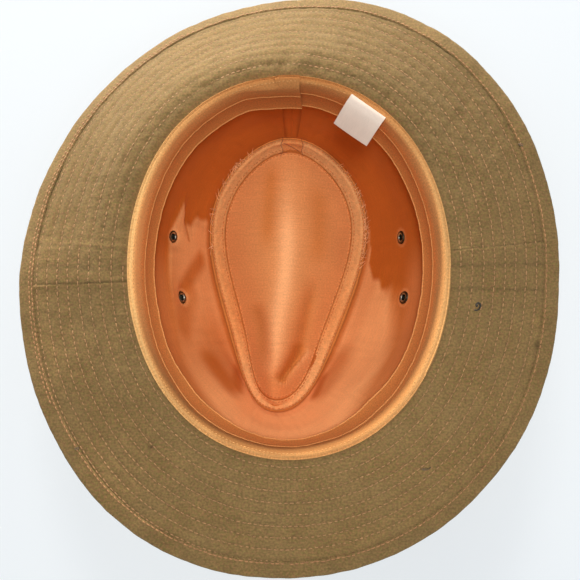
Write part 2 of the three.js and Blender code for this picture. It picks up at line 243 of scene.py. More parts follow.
@dataclass(frozen=True)
class HatForm:
    """The hat's main sizes and faces, as the solids have them."""

    rim_half_width: float = 83.5
    rim_half_length: float = 99.7
    rim_fullness: float = 0.013
    tear_middle: float = 3.4
    tear_half_length: float = 88.6
    tear_half_width: float = 47.9
    tear_taper: float = 9.6
    tear_waist: float = 4.1
    tear_lean: float = 7.5
    tear_lean_power: float = 2.5
    ridge_depth: float = 96.5
    ridge_tilt: float = math.radians(4)
    ridge_land: float = 6.0
    lean_at_rim: float = 0.3
    dent_depth: float = 18.0
    dent_end_power: float = 1.2
    dent_front_sharpness: float = 1.6
    dent_crest_shift: float = 0.25
    gap: float = 0.3
    shell: float = 1.0
    brim_width: float = 63.0
    brim_bend: float = 0.4
    brim_thick: float = 2.0
    brim_turn: tuple[float, ...] = (
        8.5, 10.8, 10.0, 12.4, 11.8, 18.2, 28.8, 30.8, 24.4, 13.4, 8.6, 3.4,
    )
    pinch_around: tuple[float, ...] = (36, -38)
    pinch_spread: float = math.radians(17)
    pinch_depth: float = 7.0
    stations: int = 56

    def rim(self, angle: Array) -> Array:
        """The opening's outline: an ellipse, a little fuller between its axes.

        Args:
            angle: Angles round the hat.

        Returns:
            The points.
        """
        full = 1 + self.rim_fullness * np.sin(2 * angle) ** 2
        x = self.rim_half_width * full * np.sin(angle)
        return stack(x, -self.rim_half_length * full * np.cos(angle), 0 * x)

    def rim_outward(self, angle: Array) -> Array:
        """Level direction straight out of the opening's outline."""
        x = np.sin(angle) / self.rim_half_width
        return unit(stack(x, -np.cos(angle) / self.rim_half_length, 0 * x))

    def tear_across(self, cosine: Array, grow: Array) -> tuple[Array, Array]:
        """Half width and middle of the tip's outline, where it has this cosine along its length.

        Args:
            cosine: 1 at the front and -1 at the back.
            grow: Growth of the outline.

        Returns:
            The half widths and middles.
        """
        angle = np.arccos(np.clip(cosine, -1, 1))
        wide = self.tear_half_width + grow - self.tear_taper * cosine + self.tear_waist * np.cos(3 * angle)
        middle = -self.tear_lean * np.clip((1 + cosine) / 2, 0, 1) ** self.tear_lean_power
        return np.sin(angle) * wide, middle

    def ridge_height(self, y: Array) -> Array:
        """Height of the ridge's plane."""
        return -self.ridge_depth + math.tan(self.ridge_tilt) * y

    def tear(self, angle: Array, grow: Array) -> Array:
        """Outline of the tip in the ridge's plane, grown or shrunk all round.

        Args:
            angle: Angles round the tip.
            grow: Growth of the outline.

        Returns:
            The points.
        """
        cosine = np.cos(angle)
        half, middle = self.tear_across(cosine, grow)
        y = self.tear_middle - (self.tear_half_length + grow) * cosine
        return stack(middle + np.sign(np.sin(angle)) * half, y, self.ridge_height(y))

    def side(self, angle: Array, along: Array) -> Array:
        """Outer face of the crown's side, from the rim (along 0) down to the ridge (along 1).

        Args:
            angle: Angles round the hat.
            along: Shares of the depth.

        Returns:
            The points.
        """
        rim = self.rim(angle)
        ridge = self.tear(angle, 0.0)
        lean = self.lean_at_rim * along + (1 - self.lean_at_rim) * along**3
        point = rim + (ridge - rim) * lean[..., None]
        point[..., 2] = along * (ridge[..., 2] + self.shell + self.gap)
        share = 27 / 4 * along**2 * (1 - along)
        for around in self.pinch_around:
            push = self.pinch_depth * share * bell(turned_from(angle, around), self.pinch_spread)
            point -= self.rim_outward(angle) * push[..., None]
        return point

    def side_inset(self, angle: Array, along: Array, inset: Array) -> Array:
        """Point at a depth inside the crown's outer face, square to that face.

        Args:
            angle: Angles round the hat.
            along: Shares of the depth.
            inset: Depths inside the face.

        Returns:
            The points.
        """
        angle, along, inset = np.broadcast_arrays(angle, along, inset)
        inward = normals_on(self.side, angle, along, SMALL_STEPS, 1.0)
        inward *= -np.sign((inward * self.rim_outward(angle)).sum(axis=-1, keepdims=True))
        return self.side(angle, along) + inward * inset[..., None]

    def along_at_depth(self, angle: Array, depth: Array) -> Array:
        """Share of the way down the side that lies at this depth below the opening."""
        return depth / -(self.tear(angle, 0.0)[..., 2] + self.shell + self.gap)

    def brim(self, angle: Array, distance: Array, height: Array) -> Array:
        """Point at a distance from the brim's root along its underside, and at a height over it.

        Args:
            angle: Angles round the hat.
            distance: Distances from the root.
            height: Heights over the underside, square to it.

        Returns:
            The points.
        """
        angle, distance, height = np.broadcast_arrays(angle, distance, height)
        turn_at_edge = np.radians(value_around(self.brim_turn, angle)) / (1 - self.brim_bend / 2)
        bend_width = self.brim_width * self.brim_bend
        out = np.full(distance.shape, self.gap)
        drop = np.zeros(distance.shape)
        steps = 24
        for step in range(steps):
            turn = turn_at_edge * smoothstep(distance * (step + 0.5) / steps, 0, bend_width)
            out += distance / steps * np.cos(turn)
            drop += distance / steps * np.sin(turn)
        turn = turn_at_edge * smoothstep(distance, 0, bend_width)
        point = self.rim(angle) + self.rim_outward(angle) * (out + height * np.sin(turn))[..., None]
        point[..., 2] = height * np.cos(turn) - drop
        return point

    def tip_height(self, x: Array, y: Array) -> Array:
        """Height of the tip's lower face, which is dented up from the ridge's plane.

        Args:
            x: Places across.
            y: Places along.

        Returns:
            The heights.
        """
        cosine = np.clip((self.tear_middle - y) / (self.tear_half_length - self.ridge_land), -1, 1)
        half, middle = self.tear_across(cosine, -self.ridge_land)
        front = (1 + cosine) / 2
        crest = middle - self.dent_crest_shift * half * front**2
        room = np.where(x > crest, middle + half - crest, crest - middle + half)
        side = np.clip(np.abs(x - crest) / np.maximum(room, 1e-6), 0, 1)
        fall = (1 - side**2) ** (1 + self.dent_front_sharpness * front**2)
        dent = self.dent_depth * np.sqrt(1 - cosine**2) ** self.dent_end_power * fall
        return self.ridge_height(y) + dent

    def tip(self, angle: Array, part: Array, grow: Array, height: Array) -> Array:
        """Point over the tip's lower face, between its middle (part 0) and an outline (part 1).

        Args:
            angle: Angles round the tip.
            part: Parts of the way out.
            grow: Growth of the outline.
            height: Heights over the face.

        Returns:
            The points.
        """
        edge = self.tear(angle, grow)
        x = edge[..., 0] * part
        y = self.tear_middle + (edge[..., 1] - self.tear_middle) * part
        return stack(x, y, self.tip_height(x, y) + height)

    def turn(self, points: Array) -> Array:
        """Points with the hat turned so that the ridge of its crown lies level."""
        cosine, sine = math.cos(self.ridge_tilt), math.sin(self.ridge_tilt)
        return points @ np.array([[1, 0, 0], [0, cosine, -sine], [0, sine, cosine]])

    def shift(self) -> Array:
        """Move from the turned hat to the solids, found from the box of the crown's tip.

        Returns:
            The move.
        """
        outline = self.turn(self.tear(even_angles(self.stations), 0.0))
        low, high = (np.array(corner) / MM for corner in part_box("crown_tip"))
        move = (low + high - outline.min(axis=0) - outline.max(axis=0)) / 2
        move[2] = low[2] - outline[:, 2].min()
        return move

    def place(self, points: Array) -> Array:
        """Points in the frame of the solids, in metres."""
        return (self.turn(points) + self.shift()) * MM


FORM = HatForm()
RIM_RADIUS = (FORM.rim_half_width + FORM.rim_half_length) / 2


class FoldAmount(Enum):
    """Amounts that each fold of the tip has."""

    HEIGHT = "height"
    PAINTED_LIGHT = "painted_light"
    SHADE = "shade"


@dataclass(frozen=True)
class Fold:
    """A fold in the tip's satin: its line, height and widths on either side, its painted light and its
    painted shade.
    """

    path: tuple[Pair, ...]
    height: float
    left: float
    right: float
    painted_light: float
    shade: float
    end_fade: float = 0.3


# Each fold also paints light and shade on the tip: lighter on the crest and the flap, darker in the troughs.
FOLDS = (
    Fold(
        ((-21.5, -12.0), (-20.0, -20.0), (-16.8, -30.4), (-14.9, -46.5), (-13.0, -58.0)),
        -1.3, 4.4, 4.4, -0.2, -0.13,
    ),
    Fold(
        ((17.0, 3.0), (14.5, -8.0), (11.0, -22.0), (8.5, -34.0), (5.5, -46.0), (-0.5, -57.0), (-5.5, -65.0)),
        -2.4, 4.8, 4.4, -0.25, -0.1, 0.08,
    ),
    Fold(((8.0, -38.0), (5.5, -46.0), (0.0, -56.0), (-5.5, -65.0)), -1.0, 4.6, 2.8, -0.4, -0.14, 0.05),
    Fold(
        ((13.0, -43.0), (11.0, -46.5), (4.5, -54.0), (-1.5, -61.0), (-6.3, -67.5)),
        2.0, 1.0, 5.0, 0.3, 0.1,
    ),
    Fold(((-10.0, 76.0), (-11.5, 58.0), (-13.0, 34.0), (-14.0, 12.0)), -0.15, 5.0, 5.0, -0.3, -0.06),
    Fold(((15.0, 64.0), (18.5, 44.0), (18.0, 22.0), (17.0, 4.0)), -0.15, 6.0, 6.0, -0.25, -0.06),
    Fold(
        (
            (-0.5, 86.0), (-1.4, 40.0), (-1.4, 13.0), (-4.0, -10.0),
            (-6.3, -23.0), (-9.4, -54.0), (-11.0, -64.0),
        ),
        0.8, 6.0, 6.0, 0.7, 0.16,
    ),
)


def over_folds(place: Array, amount: FoldAmount) -> Array:
    """Sum of one amount of all the folds, each spread over the fold's width.

    Args:
        place: Points on the tip.
        amount: The amount to add up.

    Returns:
        The sum at each point.
    """
    total = np.zeros(place.shape[:-1])
    for fold in FOLDS:
        path = curve_through(fold.path, FOLD_POINTS)
        off_x = place[..., 0:1] - path[:, 0]
        off_y = place[..., 1:2] - path[:, 1]
        squares = off_x**2 + off_y**2
        nearest = np.argmin(squares, axis=-1)
        part = nearest / (FOLD_POINTS - 1)
        side = np.take_along_axis(off_x, nearest[..., None], -1)[..., 0]
        away = np.sqrt(squares.min(axis=-1))
        width = np.where(side < 0, fold.left, fold.right)
        ends = smoothstep(part, 0.0, 0.3) * (1 - smoothstep(part, 1 - fold.end_fade, 1.0))
        total += getattr(fold, amount.value) * ends * bell(away, width)
    return total


# Making meshes


def add_object(
    name: str, points: Array, faces: list, tone: Array | None = None, weave: Array | None = None,
) -> Piece:
    """Make a smooth mesh object.

    Args:
        name: Name of the piece.
        points: Points in the hat's frame.
        faces: Point numbers of each face.
        tone: Shade (first column) and painted light share (second column) of the cloth at each point; the
            shade carries stains, wear, painted shade and painted light.
        weave: Flat place of each point on the cloth, in millimetres.

    Returns:
        The object, linked to the scene.
    """
    mesh = bpy.data.meshes.new(name)
    mesh.from_pydata(FORM.place(points).tolist(), [], faces)
    mesh.validate()
    corners = np.empty(len(mesh.loops), dtype=np.int32)
    mesh.loops.foreach_get("vertex_index", corners)
    if weave is not None:
        mesh.uv_layers.new(name=WEAVE).data.foreach_set("uv", weave[corners].ravel().astype(np.float32))
    shade = np.ones((len(points), 4), dtype=np.float32)
    shade[:, 1] = 0
    if tone is not None:
        shade[:, : tone.shape[1]] = tone
    layer = mesh.color_attributes.new(TONE, "FLOAT_COLOR", "POINT")
    layer.data.foreach_set("color", shade.ravel())
    mesh.shade_smooth()
    mesh.set_sharp_from_angle(angle=SHARP_EDGE)
    piece = bpy.data.objects.new(name, mesh)
    bpy.context.collection.objects.link(piece)
    return piece


def outward(points: Array, quads: Array) -> Array:
    """The quads of a closed mesh, turned to face out if the volume inside them comes out below zero."""
    a, b, c, d = (points[quads[:, corner]] for corner in range(4))
    return quads[:, ::-1] if (a * (np.cross(b, c) + np.cross(c, d))).sum() < 0 else quads


def tube_faces(number: Array) -> list[list[int]]:
    """Faces of closed tubes.

    Args:
        number: Point numbers by tube, ring and side.

    Returns:
        Point numbers of the quads round the tubes and of their ends.
    """
    turned = np.roll(number, -1, axis=-1)
    quads = np.stack([number[:, :-1], turned[:, :-1], turned[:, 1:], number[:, 1:]], -1).reshape(-1, 4)
    ends = np.concatenate([number[:, 0, ::-1], number[:, -1]])
    return quads.tolist() + ends.tolist()


@dataclass
class Shell:
    """Closed cloth over a grid: a front and a back face joined along their edges."""

    name: str
    front: Array
    back: Array
    tone: Array
    weave: Array
    wraps: bool = True
    pole: bool = False

    def quads(self) -> Array:
        """Point numbers of the faces, columns of the grid first.

        Returns:
            Four numbers for each face.
        """
        columns, rows = self.front.shape[:2]
        number = np.arange(2 * columns * rows).reshape(2, columns, rows)
        if self.wraps:
            number = np.concatenate([number, number[:, :1]], axis=1)
        front, back = number
        faces = [np.stack([front[:-1, :-1], front[1:, :-1], front[1:, 1:], front[:-1, 1:]], -1)]
        faces.append(np.stack([back[:-1, :-1], back[:-1, 1:], back[1:, 1:], back[1:, :-1]], -1))
        if not self.pole:
            faces.append(np.stack([front[:-1, 0], back[:-1, 0], back[1:, 0], front[1:, 0]], -1))
        faces.append(np.stack([front[:-1, -1], front[1:, -1], back[1:, -1], back[:-1, -1]], -1))
        if not self.wraps:
            faces.append(np.stack([front[0, :-1], front[0, 1:], back[0, 1:], back[0, :-1]], -1))
            faces.append(np.stack([front[-1, :-1], back[-1, :-1], back[-1, 1:], front[-1, 1:]], -1))
        return np.concatenate([part.reshape(-1, 4) for part in faces])

    def build(self) -> Piece:
        """Make the shell's mesh object, with its faces pointing out.

        Returns:
            The object.
        """
        points = np.concatenate([self.front.reshape(-1, 3), self.back.reshape(-1, 3)])
        faces = outward(points, self.quads())
        if self.pole:
            columns, rows = self.front.shape[:2]
            first = np.arange(2 * columns * rows)
            starts = np.arange(columns) * rows
            first[starts] = 0
            first[starts + columns * rows] = columns * rows
            faces = first[faces]
        corners = [list(dict.fromkeys(face)) for face in faces.tolist()]
        layers = [layer.reshape(-1, layer.shape[-1]) for layer in (self.tone, self.weave)]
        return add_object(self.name, points, corners, *(np.concatenate([layer] * 2) for layer in layers))


@dataclass(frozen=True)
class Stitch:
    """Size of one stitch, and how much the stitches differ."""

    pitch: float = 3.0
    length: float = 2.6
    width: float = 0.66
    height: float = 0.40
    rings: int = 4
    sides: int = 5
    wander: float = 0.1
    length_spread: float = 0.07
    shade_spread: float = 0.08


@dataclass(frozen=True)
class Row:
    """A line of stitches: its points, the directions square to the cloth and how far they are sunk in."""

    points: Array
    normals: Array
    sunk: Array

    def at(self, places: Array) -> tuple[Array, Array, Array]:
        """Points, directions and sunk depths at places along the line.

        Args:
            places: Lengths from the line's start.

        Returns:
            The three, with the directions of length one.
        """
        reach = reach_along(self.points)
        columns = np.column_stack([self.points, self.normals, self.sunk]).T
        values = np.stack([np.interp(places, reach, column) for column in columns], -1)
        return values[..., :3], unit(values[..., 3:6]), values[..., 6:]


def row_on(
    face: Face, first: Array, second: float | Array, side: float, steps: Pair, sunk: float | Array = 0.0,
) -> Row:
    """Line of stitches along places on a face.

    Args:
        face: Gives points from two values.
        first: First values along the line.
        second: Second values along the line.
        side: The side of the face that the stitches lie on.
        steps: Small steps of the two values, for the directions.
        sunk: How far the stitches are sunk into the cloth along the line.

    Returns:
        The line.
    """
    first, second, sunk = np.broadcast_arrays(first, second, sunk)
    return Row(face(first, second), normals_on(face, first, second, steps, side), sunk)


def sew(name: str, rows: Sequence[Row], stitch: Stitch, seed: int) -> Piece:
    """Make all the stitches of some lines as one mesh.

    Args:
        name: Name of the piece.
        rows: The lines to sew along.
        stitch: Size of the stitches.
        seed: Seed of their small differences.

    Returns:
        The mesh object.
    """
    draw = np.random.default_rng(seed)
    spread = np.linspace(-0.5, 0.5, stitch.rings)
    bow = 1 - (2 * spread) ** 2
    half = stitch.width / 2 * (0.4 + 0.6 * np.sqrt(bow))
    lift = stitch.height * (0.8 * bow - 0.15)
    turn = even_angles(stitch.sides)
    sideways = half[:, None] * np.cos(turn)
    upward = lift[:, None] + stitch.height * half[:, None] / stitch.width * 2 * 0.6 * np.sin(turn)
    blocks = []
    for row in rows:
        count = int(reach_along(row.points)[-1] // stitch.pitch)
        starts = (np.arange(count) + 0.5) * stitch.pitch + draw.normal(0, stitch.wander, count)
        lengths = stitch.length * draw.normal(1, stitch.length_spread, count)
        middle, normal, sunk = row.at(starts[:, None] + lengths[:, None] * spread)
        ahead = unit(middle[:, -1:] - middle[:, :1])
        across = unit(np.cross(normal, ahead))
        middle = middle + across * draw.normal(0, stitch.wander, count)[:, None, None] - normal * sunk
        ring = across[:, :, None] * sideways[..., None] + normal[:, :, None] * upward[..., None]
        blocks.append(middle[:, :, None] + ring)
    points = np.concatenate(blocks)
    number = np.arange(points[..., 0].size).reshape(points.shape[:3])
    shade = np.repeat(draw.normal(1, stitch.shade_spread, len(points)), stitch.rings * stitch.sides)
    return add_object(name, points.reshape(-1, 3), tube_faces(number), shade[:, None])


def spin_threads(name: str, paths: Sequence[Array], radius: float, seed: int) -> Piece:
    """Make loose threads as one mesh of thin tapered tubes.

    Args:
        name: Name of the piece.
        paths: Points along the middle of each thread.
        radius: Radius of the threads.
        seed: Seed of their shades.

    Returns:
        The mesh object.
    """
    draw = np.random.default_rng(seed)
    points, faces, shade = [], [], []
    turn = even_angles(THREAD_SIDES)[:, None]
    start = 0
    for path in paths:
        ahead = unit(np.gradient(path, axis=0))
        across = unit(np.cross(ahead, np.array([0.31, 0.23, 0.92])))
        over = np.cross(ahead, across)
        thin = radius * (1 - 0.5 * np.linspace(0, 1, len(path)) ** 2)
        ring = across[:, None] * np.cos(turn) + over[:, None] * np.sin(turn)
        count = len(path) * THREAD_SIDES
        faces += tube_faces(start + np.arange(count).reshape(1, len(path), THREAD_SIDES))
        points.append((path[:, None] + ring * thin[:, None, None]).reshape(-1, 3))
        shade.append(np.full(count, draw.normal(1, 0.12)))
        start += count
    return add_object(name, np.concatenate(points), faces, np.concatenate(shade)[:, None])


# Finishes


class Wiring:
    """Adds and joins the nodes of one material."""

    def __init__(self, name: str) -> None:
        """Start a material with an empty principled shader.

        Args:
            name: Name of the material.
        """
        self.material = bpy.data.materials.new(name)
        self.material.use_nodes = True
        self.tree = self.material.node_tree
        self.shader = self.tree.nodes["Principled BSDF"]

    def feed(self, socket: Socket, value: object) -> None:
        """Join a socket to another, or set its value.

        Args:
            socket: The socket to feed.
            value: Another socket, or a value.
        """
        if isinstance(value, Socket):
            self.tree.links.new(value, socket)
        else:
            socket.default_value = value

    def node(self, kind: str, inputs: dict, **settings: object) -> bpy.types.Node:
        """Add a node.

        Args:
            kind: Blender's name of the node.
            inputs: Sockets or values by input name or number.
            settings: The node's own settings.

        Returns:
            The node.
        """
        node = self.tree.nodes.new(kind)
        for key, value in settings.items():
            setattr(node, key, value)
        for key, value in inputs.items():
            self.feed(node.inputs[key], value)
        return node

    def shade(self, **values: object) -> None:
        """Set or join the shader's inputs, with underlines for the spaces in their names."""
        for key, value in values.items():
            self.feed(self.shader.inputs[key.replace("_", " ")], value)

    def weave(self, across: float = 1.0, down: float = 1.0) -> Socket:
        """Flat place on the cloth, scaled in its two directions."""
        place = self.node("ShaderNodeUVMap", {}, uv_map=WEAVE).outputs[0]
        return self.node("ShaderNodeMapping", {"Vector": place, "Scale": (across, down, 1.0)}).outputs[0]

    def solid_place(self) -> Socket:
        """Place in the piece's own frame, in metres."""
        return self.node("ShaderNodeTexCoord", {}).outputs["Object"]

    def tone(self) -> tuple[Socket, Socket]:
        """Shade of the cloth and its painted light share, from the mesh."""
        colour = self.node("ShaderNodeAttribute", {}, attribute_name=TONE).outputs["Color"]
        return tuple(self.node("ShaderNodeSeparateColor", {0: colour}).outputs[:2])

    def noise(self, place: Socket, scale: float, detail: float = 2.0) -> Socket:
        """Noise from 0 to 1."""
        inputs = {"Vector": place, "Scale": scale, "Detail": detail}
        return self.node("ShaderNodeTexNoise", inputs).outputs[0]

    def span(self, value: Socket, low: float, high: float) -> Socket:
        """Value from the middle of 0 to 1 spread out between low and high."""
        inputs = {"Value": value, "From Min": 0.25, "From Max": 0.75, "To Min": low, "To Max": high}
        return self.node("ShaderNodeMapRange", inputs).outputs[0]

    def times(self, first: Socket, second: Socket | float) -> Socket:
        """Product of two values."""
        return self.node("ShaderNodeMath", {0: first, 1: second}, operation="MULTIPLY").outputs[0]

    def plus(self, first: Socket, second: Socket | float) -> Socket:
        """Sum of two values."""
        return self.node("ShaderNodeMath", {0: first, 1: second}, operation="ADD").outputs[0]

    def mix(self, part: Socket, first: object, second: object) -> Socket:
        """Mix of two colours."""
        return self.node("ShaderNodeMix", {"Factor": part, 6: first, 7: second}, data_type="RGBA").outputs[2]

    def shaded(self, colour: object, *shades: Socket) -> Socket:
        """Colour times some shades."""
        inputs = {0: colour, "Scale": reduce(self.times, shades)}
        return self.node("ShaderNodeVectorMath", inputs, operation="SCALE").outputs[0]

    def bump(self, height: Socket, distance: float, strength: float) -> Socket:
        """Normal of a surface with small heights, their size in millimetres."""
        inputs = {"Height": height, "Distance": distance * MM, "Strength": strength}
        return self.node("ShaderNodeBump", inputs).outputs[0]


def rgba(colour: Colour) -> tuple[float, float, float, float]:
    """Colour with full cover."""
    return (*colour, 1.0)


@dataclass(frozen=True)
class CottonTwill:
    """Matt khaki cotton with a fine diagonal weave, mixed yarns and a worn, unevenly dyed colour."""

    name: str = "khaki_cotton_twill"
    olive: Colour = (0.177, 0.132, 0.035)
    russet: Colour = (0.244, 0.122, 0.050)
    faded: Colour = (0.243, 0.155, 0.060)
    twill_scale: float = 0.80
    yarn_scale: float = 0.85
    fleck_scale: float = 0.62
    patch_scale: float = 0.045
    blotch_scale: float = 0.117
    fuzz: Colour = (1.0, 0.9, 0.72)

    def material(self) -> Material:
        """Make the material.

        Returns:
            The material.
        """
        wiring = Wiring(self.name)
        flat = wiring.weave()
        shade, _ = wiring.tone()
        twill_inputs = {"Vector": flat, "Scale": self.twill_scale, "Distortion": 2.0, "Detail": 1.0}
        twill = wiring.node("ShaderNodeTexWave", twill_inputs, bands_direction="DIAGONAL").outputs[1]
        yarn = wiring.noise(flat, self.yarn_scale, 3.0)
        fleck = wiring.noise(wiring.weave(1.0, 1.3), self.fleck_scale)
        warp = wiring.noise(wiring.weave(0.25, 1.6), 1.0)
        patches = wiring.noise(flat, self.patch_scale, 3.0)
        blotches = wiring.noise(flat, self.blotch_scale)
        mixed = wiring.mix(wiring.span(fleck, -0.15, 1.15), rgba(self.olive), rgba(self.russet))
        base_colour = wiring.mix(wiring.span(patches, 0.0, 0.7), mixed, rgba(self.faded))
        fine = wiring.times(wiring.span(yarn, 0.66, 1.34), wiring.span(warp, 0.88, 1.12))
        ridged = wiring.span(twill, 0.94, 1.04)
        coloured = wiring.shaded(base_colour, shade, fine, ridged, wiring.span(blotches, 0.91, 1.09))
        height = wiring.plus(wiring.times(twill, 0.5), yarn)
        wiring.shade(Base_Color=coloured, Roughness=0.88, Specular_IOR_Level=0.25, Sheen_Weight=0.18)
        wiring.shade(Sheen_Roughness=0.5, Sheen_Tint=rgba(self.fuzz), Normal=wiring.bump(height, 0.12, 0.9))
        return wiring.material


@dataclass(frozen=True)
class Satin:
    """Copper orange satin: smooth, with fine lines of its yarn, and a deep and a pale copy of its colour for
    painted shade and painted light.
    """

    name: str = "copper_satin"
    # Colour under painted shade (deep) and under painted light (pale), mixed by the mesh's painted light
    # share.
    deep: Colour = (0.52, 0.115, 0.010)
    pale: Colour = (0.97, 0.46, 0.19)
    roughness: float = 0.55
    stretch: float = 0.9
    gloss: float = 0.15
    lustre: float = 0.2
    grain: float = 0.08
    glint: Colour = (1.0, 0.68, 0.42)
    fuzz: Colour = (1.0, 0.62, 0.34)

    def material(self) -> Material:
        """Make the material.

        Returns:
            The material.
        """
        wiring = Wiring(self.name)
        shade, kind = wiring.tone()
        lines = wiring.noise(wiring.weave(1.5, 0.07), 1.0, 3.0)
        grain = wiring.noise(wiring.weave(), 1.0)
        patches = wiring.noise(wiring.weave(), 0.05)
        # Painted light and shade: the mesh's painted light share mixes the deep and the pale copy of the
        # colour.
        base_colour = wiring.mix(kind, rgba(self.deep), rgba(self.pale))
        specks = wiring.span(grain, 1 - self.grain, 1 + self.grain)
        fine = wiring.times(wiring.span(lines, 0.94, 1.06), specks)
        coloured = wiring.shaded(base_colour, shade, fine, wiring.span(patches, 0.96, 1.04))
        height = wiring.plus(lines, wiring.times(grain, 0.6))
        smooth = wiring.span(grain, self.roughness - 0.03, self.roughness + 0.05)
        rough = wiring.plus(smooth, wiring.times(kind, 0.1))
        tangent = wiring.node("ShaderNodeTangent", {}, direction_type="UV_MAP", uv_map=WEAVE)
        wiring.shade(Base_Color=coloured, Roughness=rough, Specular_IOR_Level=self.gloss)
        wiring.shade(Metallic=self.lustre, Specular_Tint=rgba(self.glint))
        wiring.shade(Anisotropic=self.stretch, Tangent=tangent.outputs[0])
        wiring.shade(Sheen_Weight=0.06, Sheen_Roughness=0.4, Sheen_Tint=rgba(self.fuzz))
        wiring.shade(Normal=wiring.bump(height, 0.05, 0.7))
        return wiring.material


@dataclass(frozen=True)
class SewingThread:
    """Spun sewing thread."""

    name: str
    colour: Colour

    def material(self) -> Material:
        """Make the material.

        Returns:
            The material.
        """
        wiring = Wiring(self.name)
        shade, _ = wiring.tone()
        fibres = wiring.noise(wiring.solid_place(), 2600.0)
        coloured = wiring.shaded(self.colour, shade, wiring.span(fibres, 0.8, 1.2))
        wiring.shade(Base_Color=coloured, Roughness=0.6, Specular_IOR_Level=0.35, Sheen_Weight=0.2)
        wiring.shade(Normal=wiring.bump(fibres, 0.08, 0.6))
        return wiring.material


@dataclass(frozen=True)
class AgedBrass:
    """Brass that has gone dark, brighter where it is rubbed."""

    name: str = "aged_brass"
    dark: Colour = (0.045, 0.038, 0.024)
    rubbed: Colour = (0.74, 0.70, 0.58)

    def material(self) -> Material:
        """Make the material.

        Returns:
            The material.
        """
        wiring = Wiring(self.name)
        shade, _ = wiring.tone()
        patches = wiring.noise(wiring.solid_place(), 900.0, 4.0)
        rub = wiring.times(shade, wiring.span(patches, 0.0, 1.5))
        coloured = wiring.mix(rub, rgba(self.dark), rgba(self.rubbed))
        wiring.shade(Base_Color=coloured, Metallic=1.0, Roughness=wiring.span(patches, 0.26, 0.44))
        wiring.shade(Normal=wiring.bump(patches, 0.06, 0.5))
        return wiring.material


@dataclass(frozen=True)
class WovenTape:
    """Cream woven tape."""

    name: str = "cream_tape"
    colour: Colour = (0.78, 0.635, 0.53)

    def material(self) -> Material:
        """Make the material.

        Returns:
            The material.
        """
        wiring = Wiring(self.name)
        shade, _ = wiring.tone()
        warp = wiring.noise(wiring.weave(3.2, 0.5), 1.0)
        weft = wiring.noise(wiring.weave(0.5, 3.2), 1.0)
        cloud = wiring.noise(wiring.weave(), 0.16)
        fine = wiring.times(wiring.span(warp, 0.95, 1.04), wiring.span(cloud, 0.95, 1.03))
        coloured = wiring.shaded(self.colour, shade, fine)
        wiring.shade(Base_Color=coloured, Roughness=0.62, Specular_IOR_Level=0.35, Sheen_Weight=0.15)
        wiring.shade(Normal=wiring.bump(wiring.plus(warp, weft), 0.05, 0.6))
        return wiring.material


@dataclass(frozen=True)
class PaleFloor:
    """Plain pale floor with the faintest mottling."""

    name: str = "pale_floor"
    colour: Colour = (0.715, 0.75, 0.78)
    glow: float = 0.28

    def material(self) -> Material:
        """Make the material.

        Returns:
            The material.
        """
        wiring = Wiring(self.name)
        cloud = wiring.noise(wiring.solid_place(), 3.0, 3.0)
        coloured = wiring.shaded(self.colour, wiring.span(cloud, 0.985, 1.01))
        wiring.shade(Base_Color=coloured, Roughness=0.7, Specular_IOR_Level=0.2)
        wiring.shade(Emission_Color=rgba(self.colour), Emission_Strength=self.glow)
        return wiring.material


Finish = CottonTwill | Satin | SewingThread | AgedBrass | WovenTape


# Sub-assemblies


@dataclass
class SubAssembly:
    """Some pieces of the hat that are made and dressed together."""

    pieces: list[Piece] = field(default_factory=list, init=False)

    def keep(self, piece: Piece, slot: Slot, *nodes: str) -> None:
        """Let a piece ride on the hat and stand for some of the solids.

        Args:
            piece: The new piece.
            slot: Material slot that its finish belongs to; not used.
            nodes: Names of the solids that it replaces.
        """
        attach(piece, BODY)
        if nodes:
            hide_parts(*nodes)
        self.pieces.append(piece)

    def cover(self, finish: Finish, *names: str) -> None:
        """Give a finish to some of the pieces.

        Args:
            finish: The finish.
            names: What the names of those pieces start with.
        """
        material = finish.material()
        for piece in self.pieces:
            if piece.name.startswith(names):
                piece.data.materials.clear()
                piece.data.materials.append(material)


@dataclass(frozen=True)
class SideSeam:
    """A seam across the brim, with its folded allowance on one side."""

    around: float
    allowance: float
    edge: float


@dataclass(frozen=True)
class Crease:
    """A crease across the brim, from its angle at the root to its angle at the edge, with painted shade
    (dark) or a painted highlight (pale).
    """

    root: float
    edge: float
    width: float
    darkness: float


@dataclass(frozen=True)
class Mark:
    """A stain or speck on the brim."""

    around: float
    distance: float
    size: float
    darkness: float


@dataclass(frozen=True)
class StrayThread:
    """A loose thread or knot on the brim.

    Its middle lies at an angle in degrees and at a distance from the brim's root. The points of its line are
    measured from there, to the hat's +X side and to the back. The lift is its height over the cloth.
    """

    name: str
    around: float
    distance: float
    radius: float
    line: tuple[Pair, ...]
    lift: float = 0.45


KNOT_LINE = ((-1.4, 0.3), (-0.3, -0.5), (0.9, 0.1), (0.2, 0.7), (-0.6, 0.1), (1.2, -0.6))


